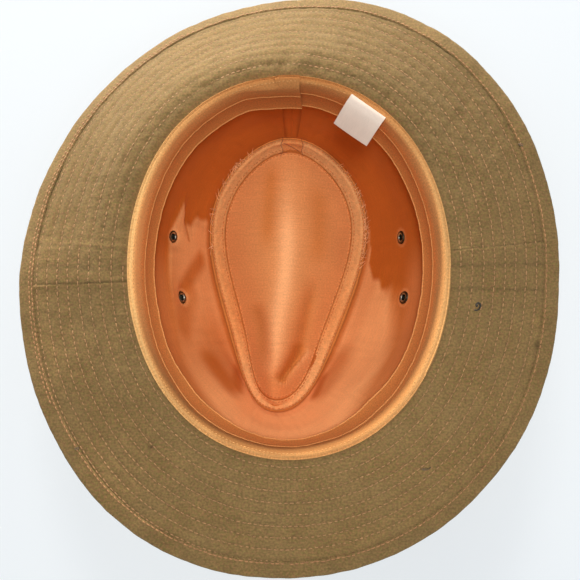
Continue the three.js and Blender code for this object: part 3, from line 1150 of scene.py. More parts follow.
@dataclass
class Brim(SubAssembly):
    """The stitched brim, its bound edge and their stitches."""

    columns: int = 640
    rows: int = 57
    spiral_first: float = 2.4
    spiral_pitch: float = 6.2
    spiral_turns: float = 8.25
    spiral_start: float = 270.0
    spiral_points: int = 6000
    inset: float = 0.3
    puff: float = 0.4
    edge_puff: float = 0.6
    waves: Ripples = ((0.5, 34.0, 3),)
    under_pucker: Ripples = ((0.11, 2.6, 5), (0.12, 7.0, 6))
    over_pucker: Ripples = ((0.11, 2.6, 7), (0.12, 7.0, 8))
    back_folds_around: float = 176.5
    back_fold_width: float = 3.6
    back_fold_height: float = 0.55
    seams: tuple[SideSeam, ...] = (SideSeam(274.5, 8.0, 22.0), SideSeam(95.0, 11.0, 22.0))
    seam_step: float = 0.4
    # Creases: darkness above zero is painted shade, below zero a painted highlight.
    creases: tuple[Crease, ...] = (
        Crease(94.4, 95.8, 0.42, 0.27),
        Crease(93.9, 95.3, 0.45, -0.16),
        Crease(89.7, 90.9, 1.1, 0.20),
        Crease(83.1, 85.6, 0.9, 0.26),
        Crease(274.9, 273.5, 0.42, 0.30),
        Crease(275.4, 274.0, 0.45, -0.22),
        Crease(270.9, 269.7, 1.5, 0.20),
        Crease(264.5, 263.9, 0.7, -0.26),
        Crease(265.3, 264.7, 0.8, 0.12),
    )
    sharp_creases: tuple[float, ...] = (95.1, 274.5)
    marks: tuple[Mark, ...] = (
        Mark(78.2, 49.6, 2.2, -0.28),
        Mark(73.3, 52.9, 2.1, 0.50),
        Mark(311.0, 24.0, 3.0, -0.12),
        Mark(329.0, 20.0, 5.0, -0.10),
        Mark(314.5, 31.0, 2.5, -0.10),
        Mark(320.0, 23.0, 1.1, 0.65),
        Mark(309.5, 57.5, 1.3, 0.30),
    )
    # Painted light and shade by angle round the brim, and painted light along its left edge.
    light_patches: tuple[Patch, ...] = (Patch(25.0, 0.8, 0.12), Patch(140.0, 0.45, -0.1), Patch(250.0, 0.4, -0.07))
    edge_light: Patch = Patch(272.0, 0.3, 0.14)
    binding_width: float = 9.4
    binding_lift: float = 0.55
    binding_rows: int = 22
    binding_points: int = 1400
    binding_row: float = 8.5
    second_row: float = 6.8
    second_row_around: Pair = (205.0, 300.0)
    second_row_points: int = 500
    binding_pucker: Ripples = ((0.10, 3.2, 11), (0.10, 9.0, 12))
    pucker_reach: float = 60.0
    wave_reach: float = 58.0
    stitch: Stitch = Stitch()
    over_stitch: Stitch = Stitch(rings=3)
    binding_stitch: Stitch = Stitch(pitch=2.7, length=2.2, width=0.75)
    stitch_steps: Pair = (2e-3, 0.2)
    sunk_around: tuple[Patch, ...] = (Patch(195.0, 0.85, 0.24), Patch(4.0, 0.35, 0.14))
    stray_points: int = 30
    strays: tuple[StrayThread, ...] = (
        StrayThread("brim_curled_thread", 79.0, 16.0, 0.62, (
            (-0.4, 0.2), (-1.0, 1.1), (0.0, 1.9), (1.1, 1.3),
            (1.1, 0.1), (0.3, -1.1), (-1.0, -1.7), (-2.4, -1.4),
        )),
        StrayThread("brim_fleck_thread", 36.2, 31.7, 0.30, (
            (2.4, 0.9), (1.2, 0.0), (-0.4, -0.4), (-2.2, 0.0), (-0.6, 0.5), (0.8, 0.5),
        )),
        StrayThread("brim_left_knot", 309.5, 54.5, 0.32, KNOT_LINE, 1.0),
        StrayThread("brim_right_knot", 116.7, 54.5, 0.32, KNOT_LINE, 1.0),
    )

    def row_part(self, angle: Array, distance: Array) -> Array:
        """Part of the way from one stitched row (0) to the next (1), below zero outside the rows.

        Args:
            angle: Angles round the hat.
            distance: Distances from the brim's root.

        Returns:
            The parts.
        """
        turned = np.mod(angle - math.radians(self.spiral_start), FULL_TURN) / FULL_TURN
        turns = (distance - self.spiral_first) / self.spiral_pitch
        inside = (turns > turned - 1) & (turns < self.spiral_turns)
        return np.where(inside, np.mod(turns - turned, 1.0), -1.0)

    def seam_rise(self, angle: Array, distance: Array) -> tuple[Array, Array]:
        """Rise of the side seams' folded cloth and of the creases, and the creases' painted shade and
        painted highlight.

        Args:
            angle: Angles round the hat.
            distance: Distances from the brim's root.

        Returns:
            The rises and the painted darknesses, below zero for painted highlights.
        """
        rise = np.zeros(np.broadcast(angle, distance).shape)
        crease = np.zeros(rise.shape)
        for seam in self.seams:
            off = -turned_from(angle, seam.around) * (RIM_RADIUS + distance)
            fold = smoothstep(off, -0.5, 0.5) * (1 - smoothstep(off, seam.edge - 3, seam.edge + 3))
            step = 1 - 0.45 * smoothstep(off, seam.allowance - 2, seam.allowance + 2)
            rise += self.seam_step * fold * step
        # Each crease carries painted shade; one with darkness below zero carries a painted highlight.
        for line in self.creases:
            part = np.clip(distance / FORM.brim_width, 0, 1)
            middle = np.radians(line.root + (line.edge - line.root) * part)
            off = np.sin(angle - middle) * (RIM_RADIUS + distance)
            near = np.where(np.cos(angle - middle) > 0, bell(off, line.width), 0.0)
            rise -= 0.5 * line.darkness * near
            crease += line.darkness * near
        return rise, crease

    def flat_place(self, angle: Array, distance: Array) -> Array:
        """Place on the brim's cloth laid flat."""
        return wrapped(angle, RIM_RADIUS + distance, 0.0)

    def sewn_part(self, distance: Array) -> Array:
        """1 over the stitched rows, 0 at the brim's root and under its binding."""
        return smoothstep(distance, 0.0, 3.0) * (1 - smoothstep(distance, 55.0, 57.0))

    def puffs(self, angle: Array, distance: Array) -> Array:
        """Height of the cloth that puffs up between the stitched rows.

        Args:
            angle: Angles round the hat.
            distance: Distances from the brim's root.

        Returns:
            The heights.
        """
        part = self.row_part(angle, distance)
        puffed = np.where(part < 0, self.edge_puff, 1 - np.abs(2 * part - 1) ** 3)
        return self.puff * puffed * self.sewn_part(distance)

    def sway(self, angle: Array, distance: Array) -> Array:
        """Height of the slow waves of the whole brim."""
        return ripples(self.flat_place(angle, distance), self.waves) * smoothstep(distance, 0, 22)

    def under(self, angle: Array, distance: Array) -> Array:
        """Underside of the brim, which shows, with its quilting, seams, wrinkles and waves.

        Args:
            angle: Angles round the hat.
            distance: Distances from the brim's root.

        Returns:
            The points.
        """
        seam, _ = self.seam_rise(angle, distance)
        pucker = ripples(self.flat_place(angle, distance), self.under_pucker) * self.sewn_part(distance)
        back = turned_from(angle, self.back_folds_around) * RIM_RADIUS
        near = bell(back, 13.0) * bell(distance - 8.0, 8.0)
        folds = self.back_fold_height * np.cos(back / self.back_fold_width + 0.05 * distance) * near
        raised = self.puffs(angle, distance) + seam + self.sway(angle, distance) + pucker
        return FORM.brim(angle, distance, raised + folds - self.inset)

    def over(self, angle: Array, distance: Array) -> Array:
        """Upper side of the brim, towards the crown.

        Args:
            angle: Angles round the hat.
            distance: Distances from the brim's root.

        Returns:
            The points.
        """
        seam, _ = self.seam_rise(angle, distance)
        pucker = ripples(self.flat_place(angle, distance), self.over_pucker)
        lifted = self.sway(angle, distance) - FORM.brim_thick + self.inset
        return FORM.brim(angle, distance, lifted - self.puffs(angle, distance) - pucker - 0.5 * seam)

    def shades(self, angle: Array, distance: Array) -> Array:
        """Shade of the cloth: painted shade along the stitched rows, the creases and the binding's inner
        edge, painted light and shade by angle, and the stains.

        Args:
            angle: Angles round the hat.
            distance: Distances from the brim's root.

        Returns:
            The shades, 1 for plain cloth.
        """
        # Painted shade along the stitch lines, the creases and the binding's inner edge, and painted light
        # and shade round the brim; the stains multiply it.
        part = self.row_part(angle, distance)
        line = np.where(part < 0, 0.0, bell(np.minimum(part, 1 - part) * self.spiral_pitch, 0.9))
        _, crease = self.seam_rise(angle, distance)
        light_by_angle = sum(patch.at(angle) for patch in self.light_patches)
        light_by_angle = light_by_angle + self.edge_light.at(angle) * smoothstep(distance, 40.0, 55.0)
        under_binding = bell(distance - FORM.brim_width + self.binding_width, 0.9)
        return (1 - 0.12 * line - crease - 0.22 * under_binding + light_by_angle) * self.stained(angle, distance)

    def stained(self, angle: Array, distance: Array) -> Array:
        """Factor of the stains and of the faded spots.

        Args:
            angle: Angles round the hat.
            distance: Distances from the brim's root.

        Returns:
            The factors.
        """
        shade = np.ones(np.broadcast(angle, distance).shape)
        for mark in self.marks:
            off = turned_from(angle, mark.around) * (RIM_RADIUS + distance)
            shade *= 1 - mark.darkness * bell(np.hypot(off, distance - mark.distance), mark.size)
        return shade

    def add_cloth(self) -> None:
        """Make the brim's cloth."""
        close = [np.radians(middle + np.linspace(-1.3, 1.3, 16)) for middle in self.sharp_creases]
        around = np.unique(np.concatenate([even_angles(self.columns), *close]))
        angle, distance = grid(around, np.linspace(-0.4, FORM.brim_width - 1.4, self.rows))
        front = self.under(angle, distance)
        tone = self.shades(angle, distance)[..., None]
        shell = Shell("brim_cloth", front, self.over(angle, distance), tone, front[..., :2])
        self.keep(shell.build(), Slot.COTTON, "brim")

    def binding_section(self) -> Array:
        """Section of the binding's outer face, round the brim's edge.

        Returns:
            Distances from the brim's edge and heights over its underside.
        """
        lift, width, thick = self.binding_lift, self.binding_width, FORM.brim_thick
        radius = thick / 2 + lift
        under = [(width - 0.1, 0.05), (width - 0.35, lift - 0.2), (width - 1.2, lift)]
        under += [(width / 2, lift + 0.1), (radius, lift)]
        turns = np.radians([67, 45, 22, 0, -22, -45, -67])
        edge = [(radius * (1 - math.cos(turn)), radius * math.sin(turn) - thick / 2) for turn in turns]
        over = [(reach, -thick - height) for reach, height in reversed(under)]
        return curve_through(under + edge + over, self.binding_rows)

    def binding_face(self, angle: Array, distance: Array, height: Array) -> Array:
        """Point of the binding, which follows the brim's waves and puckers at its stitches."""
        pucker = ripples(self.flat_place(angle, self.pucker_reach), self.binding_pucker)
        return FORM.brim(angle, distance + 0.4 * pucker, height + self.sway(angle, self.wave_reach) + pucker)

    def add_binding(self) -> None:
        """Make the binding, folded round the edge."""
        reach, height = self.binding_section().T
        angle = even_angles(self.columns)[:, None]
        distance = FORM.brim_width - reach
        front = self.binding_face(*np.broadcast_arrays(angle, distance, height))
        inner_distance = FORM.brim_width - np.maximum(reach, 0.9)
        inner_height = np.clip(height, -FORM.brim_thick - 0.15, 0.15)
        back = self.binding_face(*np.broadcast_arrays(angle, inner_distance, inner_height))
        worn = 1 + 0.07 * bell(reach, 1.6) + 0.05 * soft_noise(front, 14.0, 13)
        tone = (worn * self.stained(angle, distance))[..., None]
        shell = Shell("brim_binding_cloth", front, back, tone, front[..., :2])
        self.keep(shell.build(), Slot.COTTON, "brim_binding")

    def add_rows(self) -> None:
        """Make the stitches of the spiral, which are worn into the cloth in places on the underside."""
        turns = np.linspace(0, self.spiral_turns, self.spiral_points)
        angle = math.radians(self.spiral_start) + turns * FULL_TURN
        distance = self.spiral_first + self.spiral_pitch * turns
        worn = 0.11 * soft_noise(self.flat_place(angle, distance), 15.0, 14)
        sunk = np.clip(sum(patch.at(angle) for patch in self.sunk_around) + worn - 0.03, 0.0, 0.34)
        under = row_on(self.under, angle, distance, -1.0, self.stitch_steps, sunk)
        over = row_on(self.over, angle, distance, 1.0, self.stitch_steps)
        self.keep(sew("brim_stitches_under", [under], self.stitch, 21), Slot.COTTON)
        self.keep(sew("brim_stitches_over", [over], self.over_stitch, 22), Slot.COTTON)

    def add_binding_rows(self) -> None:
        """Make the stitches of the binding: one row on either side, and a second one at the left."""
        around = np.linspace(0, FULL_TURN, self.binding_points)
        left = np.radians(np.linspace(*self.second_row_around, self.second_row_points))
        under = partial(self.binding_face, height=self.binding_lift)
        over = partial(self.binding_face, height=-FORM.brim_thick - self.binding_lift)
        sewn, second = FORM.brim_width - self.binding_row, FORM.brim_width - self.second_row
        rows = [
            row_on(under, around, sewn, -1.0, self.stitch_steps),
            row_on(over, around, sewn, 1.0, self.stitch_steps),
            row_on(under, left, second, -1.0, self.stitch_steps),
        ]
        self.keep(sew("brim_binding_stitches", rows, self.binding_stitch, 23), Slot.COTTON)

    def add_stray(self, stray: StrayThread) -> None:
        """Make a loose thread that lies on the brim.

        Args:
            stray: The thread.
        """
        sideways, backwards = curve_through(stray.line, self.stray_points).T
        middle = math.radians(stray.around)
        outwards = sideways * math.sin(middle) - backwards * math.cos(middle)
        onward = sideways * math.cos(middle) + backwards * math.sin(middle)
        angle = middle + onward / (RIM_RADIUS + stray.distance)
        path = self.under(angle, stray.distance + outwards) + stray.lift * UP
        self.keep(spin_threads(stray.name, [path], stray.radius, 24), Slot.COTTON)

    def build(self) -> None:
        """Make the brim's pieces."""
        self.add_cloth()
        self.add_binding()
        self.add_rows()
        self.add_binding_rows()
        for stray in self.strays:
            self.add_stray(stray)

    def dress(self) -> None:
        """Give the brim's pieces their finishes."""
        self.cover(CottonTwill(), "brim_cloth", "brim_binding_cloth")
        self.cover(SewingThread("tan_thread", (0.39, 0.205, 0.088)), "brim_stitches")
        self.cover(SewingThread("russet_thread", (0.40, 0.19, 0.078)), "brim_binding_stitches")
        self.cover(SewingThread("dark_thread", (0.035, 0.027, 0.016)), "brim_curled_thread")
        umber = SewingThread("umber_thread", (0.11, 0.07, 0.035))
        self.cover(umber, "brim_fleck_thread", "brim_left_knot", "brim_right_knot")


@dataclass
class Crown(SubAssembly):
    """The crown's cotton side and tip, with their seams."""

    columns: int = 300
    rows: int = 38
    tip_rows: int = 40
    inset: float = 0.25
    side_creases: Ripples = ((0.5, 26.0, 31), (0.18, 8.0, 32))
    tip_creases: Ripples = ((0.6, 20.0, 33), (0.25, 7.0, 34))
    worn: float = 0.12
    side_row: float = 0.955
    tip_row: float = 0.95
    seam_stitch: Stitch = Stitch(rings=3)
    stitch_steps: Pair = (2e-3, 2e-3)

    def outside(self, angle: Array, along: Array) -> Array:
        """Outer face of the side, with soft creases and the back seam.

        Args:
            angle: Angles round the hat.
            along: Shares of the way from the rim (0) to the ridge (1).

        Returns:
            The points.
        """
        back = turned_from(angle, 180) * FORM.rim_half_width
        seam = 0.45 * bell(back, 0.8) - 0.25 * smoothstep(np.abs(back), 0, 7.0)
        ease = smoothstep(along, 0.0, 0.12) * (1 - smoothstep(along, 0.9, 1.0))
        crease = ripples(FORM.side(angle, along), self.side_creases)
        return FORM.side_inset(angle, along, self.inset + seam + 0.6 * ease * crease)

    def under_tip(self, angle: Array, part: Array) -> Array:
        """Lower face of the tip, which is the hat's top.

        Args:
            angle: Angles round the tip.
            part: Parts of the way from its middle (0) to its edge (1).

        Returns:
            The points.
        """
        place = FORM.tip(angle, part, 0.0, 0.0)
        crease = ripples(place, self.tip_creases) * (1 - smoothstep(part, 0.8, 0.93))
        place[..., 2] += 0.7 * crease + over_folds(place, FoldAmount.HEIGHT)
        return place

    def add_side(self) -> None:
        """Make the side, with the eyelets' holes."""
        angle, along = grid(even_angles(self.columns), np.linspace(0, 1, self.rows))
        back = FORM.side_inset(angle, along, FORM.shell)
        weave = np.stack([angle * FORM.rim_half_width, FORM.ridge_depth * along], -1)
        tone = (1 + self.worn * smoothstep(along, 0.9, 1.0))[..., None]
        side = Shell("crown_side_cloth", self.outside(angle, along), back, tone, weave).build()
        cut_eyelet_holes(side)
        self.keep(side, Slot.COTTON, "crown_side")

    def add_tip(self) -> None:
        """Make the tip."""
        angle, part = grid(even_angles(self.columns), np.linspace(0, 1, self.tip_rows))
        front = self.under_tip(angle, part)
        top = FORM.tip(angle, part, 0.0, FORM.shell)
        top[..., 2] += over_folds(top, FoldAmount.HEIGHT)
        tone = (1 + self.worn * smoothstep(part, 0.86, 1.0))[..., None]
        shell = Shell("crown_tip_cloth", front, top, tone, front[..., :2], pole=True)
        self.keep(shell.build(), Slot.COTTON, "crown_tip")

    def build(self) -> None:
        """Make the crown's pieces."""
        self.add_side()
        self.add_tip()
        around = np.linspace(0, FULL_TURN, SEAM_POINTS)
        rows = [row_on(self.outside, around, self.side_row, 1.0, self.stitch_steps)]
        rows.append(row_on(self.under_tip, around, self.tip_row, -1.0, self.stitch_steps))
        self.keep(sew("crown_stitches", rows, self.seam_stitch, 35), Slot.COTTON)

    def dress(self) -> None:
        """Give the crown's pieces their finishes."""
        self.cover(CottonTwill(name="crown_cotton_twill"), "crown_side", "crown_tip")
        self.cover(SewingThread("crown_thread", (0.47, 0.215, 0.075)), "crown_stitches")


@dataclass(frozen=True)
class Eyelet:
    """Place of one vent eyelet on the crown's side."""

    node: str
    around: float
    along: float
    lean: float

    def frame(self) -> tuple[Array, Array, Array, Array]:
        """The eyelet's own frame.

        Returns:
            Its middle on the crown's outer face, and the directions inwards, across and over.
        """
        angle, along = np.array(math.radians(self.around)), np.array(self.along)
        face = FORM.side_inset(angle, along, 0.0)
        inward = unit(FORM.side_inset(angle, along, 1.0) - face + self.lean * UP)
        across = unit(np.cross(inward, UP))
        return face, inward, across, np.cross(inward, across)

    def distance(self, angle: Array, along: Array) -> Array:
        """Distance of places on the crown's side from the eyelet's middle."""
        middle = FORM.side(np.array(math.radians(self.around)), np.array(self.along))
        return np.linalg.norm(FORM.side(angle, along) - middle, axis=-1)


EYELETS = (
    Eyelet("eyelet_left_back", 257, 0.62, 0.24),
    Eyelet("eyelet_left_front", 279, 0.69, 0.2),
    Eyelet("eyelet_right_back", 103, 0.66, 0.0),
    Eyelet("eyelet_right_front", 81, 0.59, 0.08),
)
EYELET_HOLE = 2.45
CUTTER_ENDS = (-9.0, 9.0)
CUTTER_SEGMENTS = 24


def lathe(eyelet: Eyelet, radius: float | Array, height: Array, segments: int) -> Array:
    """Points of a ring about an eyelet's axis.

    Args:
        eyelet: The eyelet.
        radius: One radius, or the radius at each angle and point of the section.
        height: Height of each point inwards from the crown's outer face.
        segments: Points round the axis.

    Returns:
        The points, angles first.
    """
    face, inward, across, over = eyelet.frame()
    turn = even_angles(segments)[:, None]
    radius = np.broadcast_to(radius, (segments, np.shape(height)[-1]))
    level = across * (radius * np.cos(turn))[..., None] + over * (radius * np.sin(turn))[..., None]
    return face + level + inward * np.broadcast_to(height, radius.shape)[..., None]


def cut_eyelet_holes(piece: Piece) -> None:
    """Cut the holes of the four eyelets out of a piece, by rods that are taken away again.

    Args:
        piece: The piece.
    """
    ends = np.array(CUTTER_ENDS)
    rods = np.stack([lathe(eyelet, EYELET_HOLE, ends, CUTTER_SEGMENTS) for eyelet in EYELETS])
    number = np.arange(rods[..., 0].size).reshape(rods.shape[:3]).swapaxes(1, 2)
    cutter = add_object("eyelet_cutter", rods.reshape(-1, 3), tube_faces(number))
    cut = piece.modifiers.new("holes", "BOOLEAN")
    cut.operation = "DIFFERENCE"
    cut.solver = "EXACT"
    cut.object = cutter
    graph = bpy.context.evaluated_depsgraph_get()
    mesh = bpy.data.meshes.new_from_object(piece.evaluated_get(graph))
    piece.modifiers.clear()
    piece.data = mesh
    bpy.data.objects.remove(cutter)


@dataclass
class Vents(SubAssembly):
    """The four metal vent eyelets."""

    segments: int = 48
    section_points: int = 63
    wall: float = 2.3

    def section(self) -> Array:
        """Section of one eyelet's metal.

        Returns:
            Radius, height inwards and rub at each point.
        """
        inner = self.wall + 0.1
        rows = [
            (1.78, -0.2, 0.1), (1.95, -0.75, 0.5), (2.5, -1.0, 0.9), (3.05, -0.85, 0.8),
            (3.42, -0.45, 0.4), (3.45, -0.1, 0.1), (2.4, 0.1, 0.0), (2.2, 1.2, 0.0),
            (2.4, inner, 0.0), (3.35, inner + 0.1, 0.1), (3.9, inner + 0.4, 0.03),
            (3.65, inner + 0.95, 0.05), (2.9, inner + 1.2, 0.16), (2.15, inner + 0.95, 0.9),
            (1.8, inner + 0.4, 0.05), (1.74, 1.2, 0.0),
        ]
        return curve_through(rows + rows[:1], self.section_points + 1)[:-1]

    def build(self) -> None:
        """Make the eyelets, whose rolled inner edges are a little uneven."""
        reach, height, rub = self.section().T
        turn = even_angles(self.segments)[:, None]
        rolled = smoothstep(height, self.wall, self.wall + 0.8)
        tone = np.tile(rub, self.segments)[:, None]
        for number, eyelet in enumerate(EYELETS):
            notch = 0.06 * np.cos(6 * turn + number) ** 8 + 0.03 * np.cos(2 * turn + 2 * number)
            radius = reach * (1 - notch * rolled * smoothstep(reach, 2.2, 3.2))
            points = lathe(eyelet, radius, height, self.segments)
            index = np.arange(points[..., 0].size).reshape(points.shape[:2])
            ahead, up = np.roll(index, -1, axis=0), np.roll(index, -1, axis=1)
            quads = np.stack([index, ahead, np.roll(ahead, -1, axis=1), up], -1).reshape(-1, 4)
            flat = points.reshape(-1, 3)
            ring = add_object(f"{eyelet.node}_ring", flat, outward(flat, quads).tolist(), tone)
            self.keep(ring, Slot.BRASS, eyelet.node)

    def dress(self) -> None:
        """Give the eyelets their finish."""
        self.cover(AgedBrass(), "eyelet")


LINING_ROUND = 65.0
LINING_DEPTH = 95.0


@dataclass(frozen=True)
class PaintedShadowEdge:
    """A line on the side lining where painted shadow gives way to painted light, past which the lining also
    billows towards the front.

    Each row holds a share of the depth and the angle from the front there. The side is 1 on the hat's +X
    side and -1 on the other. The line is blurred above the first share in firm and sharp below the second.
    """

    side: float
    firm: Pair
    rows: tuple[Pair, ...]

    def past(self, angle: Array, along: Array, soft: float) -> Array:
        """How far places lie past the line.

        Args:
            angle: Angles round the hat.
            along: Shares of the depth.
            soft: Half width of the change, in degrees.

        Returns:
            0 before the line, 1 past it.
        """
        depths, degrees = np.array(self.rows).T
        wander = 0.5 * soft_noise(np.stack([LINING_DEPTH * along] * 2, -1), 5.0, 49)
        edge = np.interp(along, depths, degrees) + wander
        from_front = self.side * np.degrees(turned_from(angle, 0.0))
        blur = soft + 17 * (1 - smoothstep(along, *self.firm))
        return smoothstep(edge - from_front, -blur, blur)


@dataclass(frozen=True)
class ShadeStreak:
    """A streak of painted shade on the side lining between two places (degrees, share of the depth)."""

    start: Pair
    end: Pair
    width: float
    amount: float

    def cover(self, angle: Array, along: Array) -> Array:
        """How much the streak covers each place.

        Args:
            angle: Angles round the hat.
            along: Shares of the depth.

        Returns:
            The cover, up to the streak's amount.
        """
        across = turned_from(angle, self.start[0]) * LINING_ROUND
        down = (along - self.start[1]) * FORM.ridge_depth
        run_across = math.radians(self.end[0] - self.start[0]) * LINING_ROUND
        run_down = (self.end[1] - self.start[1]) * FORM.ridge_depth
        part = np.clip((across * run_across + down * run_down) / (run_across**2 + run_down**2), 0, 1)
        away = np.hypot(across - part * run_across, down - part * run_down)
        return self.amount * (1 - smoothstep(away, 0.2 * self.width, 1.4 * self.width))


@dataclass
class Lining(SubAssembly):
    """The satin lining of the side and tip, with its seam band and back seam."""

    columns: int = 480
    rows: int = 76
    tip_rows: int = 64
    band_rows: int = 20
    face_inset: float = 2.3
    band_outer: float = -2.9
    tip_edge: float = -1.5
    band_width: float = 9.5
    band_narrowing: float = 3.0
    band_gap: float = 6.2
    strip_columns: int = 26
    strip_rows: int = 60
    strip_width: float = 13.0
    strip_top: float = 0.3
    strip_bottom: float = 0.97
    # Edges of the painted shadow on the left and right walls.
    left_edge: PaintedShadowEdge = PaintedShadowEdge(-1, (0.53, 0.62), (
        (0.36, 40.0), (0.50, 68.0), (0.52, 74.0), (0.56, 88.0), (0.58, 101.0), (0.60, 107.0),
        (0.666, 116.5), (0.70, 115.0), (0.72, 108.5), (0.80, 109.0), (0.86, 112.5), (1.0, 112.0),
    ))
    right_edge: PaintedShadowEdge = PaintedShadowEdge(1, (0.56, 0.80), (
        (0.36, 34.0), (0.45, 44.0), (0.515, 53.6), (0.543, 61.7), (0.595, 69.2), (0.694, 79.0),
        (0.727, 82.7), (0.808, 84.3), (0.83, 86.5), (0.892, 88.1), (0.95, 93.3), (0.981, 112.2),
        (0.995, 136.0),
    ))
    # Streaks of painted shade; the first of them also sink the lining into grooves.
    shade_streaks: tuple[ShadeStreak, ...] = (
        ShadeStreak((-115.1, 0.70), (-102.9, 0.785), 0.9, 0.75),
        ShadeStreak((-95.6, 0.908), (-84.0, 0.70), 4.8, 0.8),
        ShadeStreak((-82.2, 0.767), (-70.0, 0.62), 6.5, 0.5),
        ShadeStreak((-62.0, 0.86), (-45.0, 0.80), 15.0, 0.45),
        ShadeStreak((-46.0, 0.94), (-37.0, 0.76), 5.5, 0.8),
        ShadeStreak((-53.0, 0.71), (-40.0, 0.67), 9.0, 0.8),
        ShadeStreak((52.0, 0.90), (34.0, 0.82), 10.0, 0.5),
        ShadeStreak((41.0, 0.94), (30.0, 0.86), 5.0, 0.7),
    )
    grooves: int = 2
    billow: float = 2.0
    weave_round: float = 70.0
    # Painted shade on the upper left wall, more painted light at the front and less at the left.
    left_shade: Patch = Patch(283.0, 0.33, 0.7)
    front_light: Patch = Patch(8.0, 1.0, 0.4)
    left_light: Patch = Patch(300.0, 0.5, -0.12)
    band_ripple: Ripples = ((0.13, 2.6, 46), (0.2, 9.0, 47))
    band_thick: float = 0.6
    strip_thick: float = 0.5
    strip_turn: float = 0.024
    # Painted light share of the back seam strip, nearly all painted shade.
    strip_painted_light: float = 0.04
    seam_stitch: Stitch = Stitch(pitch=2.3, length=1.6, width=0.7, height=0.36)
    band_seams: tuple[float, ...] = (0.16, 0.87)
    tip_seam: float = 0.978

    def lit(self, angle: Array, along: Array, soft: float) -> Array:
        """1 between the two painted shadow edges, where the lining billows and takes painted light, else 0.
        """
        return self.left_edge.past(angle, along, soft) * self.right_edge.past(angle, along, soft)

    def wall(self, angle: Array, along: Array) -> Array:
        """Face of the side lining, with soft folds that gather at the tip's seam.

        Args:
            angle: Angles round the hat.
            along: Shares of the depth.

        Returns:
            The points.
        """
        arc = np.stack(np.broadcast_arrays(angle * self.weave_round, along * 25.0), -1)
        folds = soft_noise(wrapped(angle, 28, LINING_DEPTH * along), 15.0, 41)
        gathers = soft_noise(wrapped(angle, 70, 6 * along), 4.6, 42)
        ease = smoothstep(along, 0.25, 0.5) * (1 - smoothstep(along, 0.93, 1.0))
        pulled = 0.06 * gathers * smoothstep(along, 0.55, 0.95) * (1 - smoothstep(along, 0.96, 1.0))
        dimple = sum(bell(eyelet.distance(angle, along), 6.0) for eyelet in EYELETS)
        low = smoothstep(along, 0.36, 0.6) * (1 - smoothstep(along, 0.84, 0.99))
        groove = sum(streak.cover(angle, along) for streak in self.shade_streaks[:self.grooves])
        rise = 0.4 * (folds + 0.6) * ease + self.billow * self.lit(angle, along, 6.0) * low
        rise = rise * (1 - np.clip(dimple, 0, 1)) + pulled + 0.08 * soft_noise(arc, 3.0, 43) - 0.8 * groove
        return FORM.side_inset(angle, along, self.face_inset + np.maximum(rise, -0.6))

    def painted_light(self, angle: Array, along: Array) -> Array:
        """Painted light of the side lining, which mixes its deep and its pale copy of the satin.

        Args:
            angle: Angles round the hat.
            along: Shares of the depth.

        Returns:
            The painted light share, from painted shade (0) to painted light (1).
        """
        # Painted light between the shadow edges, cut by the streaks of painted shade and the painted shade
        # on the upper left wall; painted light on the shallow front wall, painted shade at the foot and
        # painted highlight rings round the eyelets.
        lit = self.lit(angle, along, 1.4)
        for streak in self.shade_streaks:
            lit = lit * (1 - streak.cover(angle, along))
        shallow = (1 - smoothstep(along, 0.48, 0.66)) * smoothstep(np.cos(angle), -0.25, 0.1)
        lit = lit * (1 - self.left_shade.at(angle) * (1 - smoothstep(along, 0.5, 0.78)))
        lit = np.maximum(lit, 0.38 * shallow) * (1 - 0.8 * smoothstep(along, 0.955, 0.985))
        halo = sum(bell(eyelet.distance(angle, along) - 4.9, 0.9) for eyelet in EYELETS)
        light = 0.6 + self.front_light.at(angle) + self.left_light.at(angle)
        return np.clip(0.04 + light * lit + 0.3 * halo, 0, 1)

    def band_edge(self, angle: Array) -> Array:
        """How far the tip's outline is shrunk at the seam band's inner edge."""
        front = (1 + np.cos(angle)) / 2
        return self.band_outer - self.band_width + self.band_narrowing * front**4

    def tip_face(self, angle: Array, part: Array) -> Array:
        """Face of the tip lining.

        Args:
            angle: Angles round the tip.
            part: 0 at its middle, 1 at the seam band's inner edge and 2 at its own edge.

        Returns:
            The points.
        """
        beyond = np.clip(part - 1, 0, 1)
        grow = self.band_edge(angle) * (1 - beyond) + self.tip_edge * beyond
        place = FORM.tip(angle, np.minimum(part, 1), grow, self.face_inset)
        pull = smoothstep(part, 0.55, 0.95) * (1 - smoothstep(part, 0.97, 1.0))
        gathers = 0.07 * soft_noise(wrapped(angle, 60, 8 * part), 4.0, 44) * pull
        creases = 0.3 * soft_noise(place, 15.0, 45) * (1 - smoothstep(part, 0.85, 1.0))
        ridge = 0.45 * bell(part - 0.988, 0.014)
        place[..., 2] += gathers + over_folds(place, FoldAmount.HEIGHT) + creases + ridge
        return place

    def band_face(self, angle: Array, part: Array) -> Array:
        """Face of the seam band.

        Args:
            angle: Angles round the tip.
            part: 0 at the band's inner edge and 1 at its outer edge.

        Returns:
            The points.
        """
        inner = self.band_edge(angle)
        place = FORM.tip(angle, 1.0, inner + (self.band_outer - inner) * part, self.face_inset)
        dome = 0.32 + 0.44 * (1 - (2 * part - 1) ** 6)
        place[..., 2] += dome * (1 - 0.55 * self.in_gap(angle)) + ripples(place, self.band_ripple)
        return place

    def in_gap(self, angle: Array) -> Array:
        """1 where the seam band parts at the back seam, else 0."""
        off = np.abs(FORM.tear(angle, -8.0)[..., 0] - 2.0)
        return (np.cos(angle) < 0) * (1 - smoothstep(off, self.band_gap - 0.5, self.band_gap + 0.5))

    def add_side(self) -> None:
        """Make the side lining, with the eyelets' holes."""
        angle, along = grid(even_angles(self.columns), np.linspace(0.06, 1, self.rows))
        back = FORM.side_inset(angle, along, FORM.shell + FORM.gap)
        weave = np.stack([along * FORM.ridge_depth, angle * self.weave_round], -1)
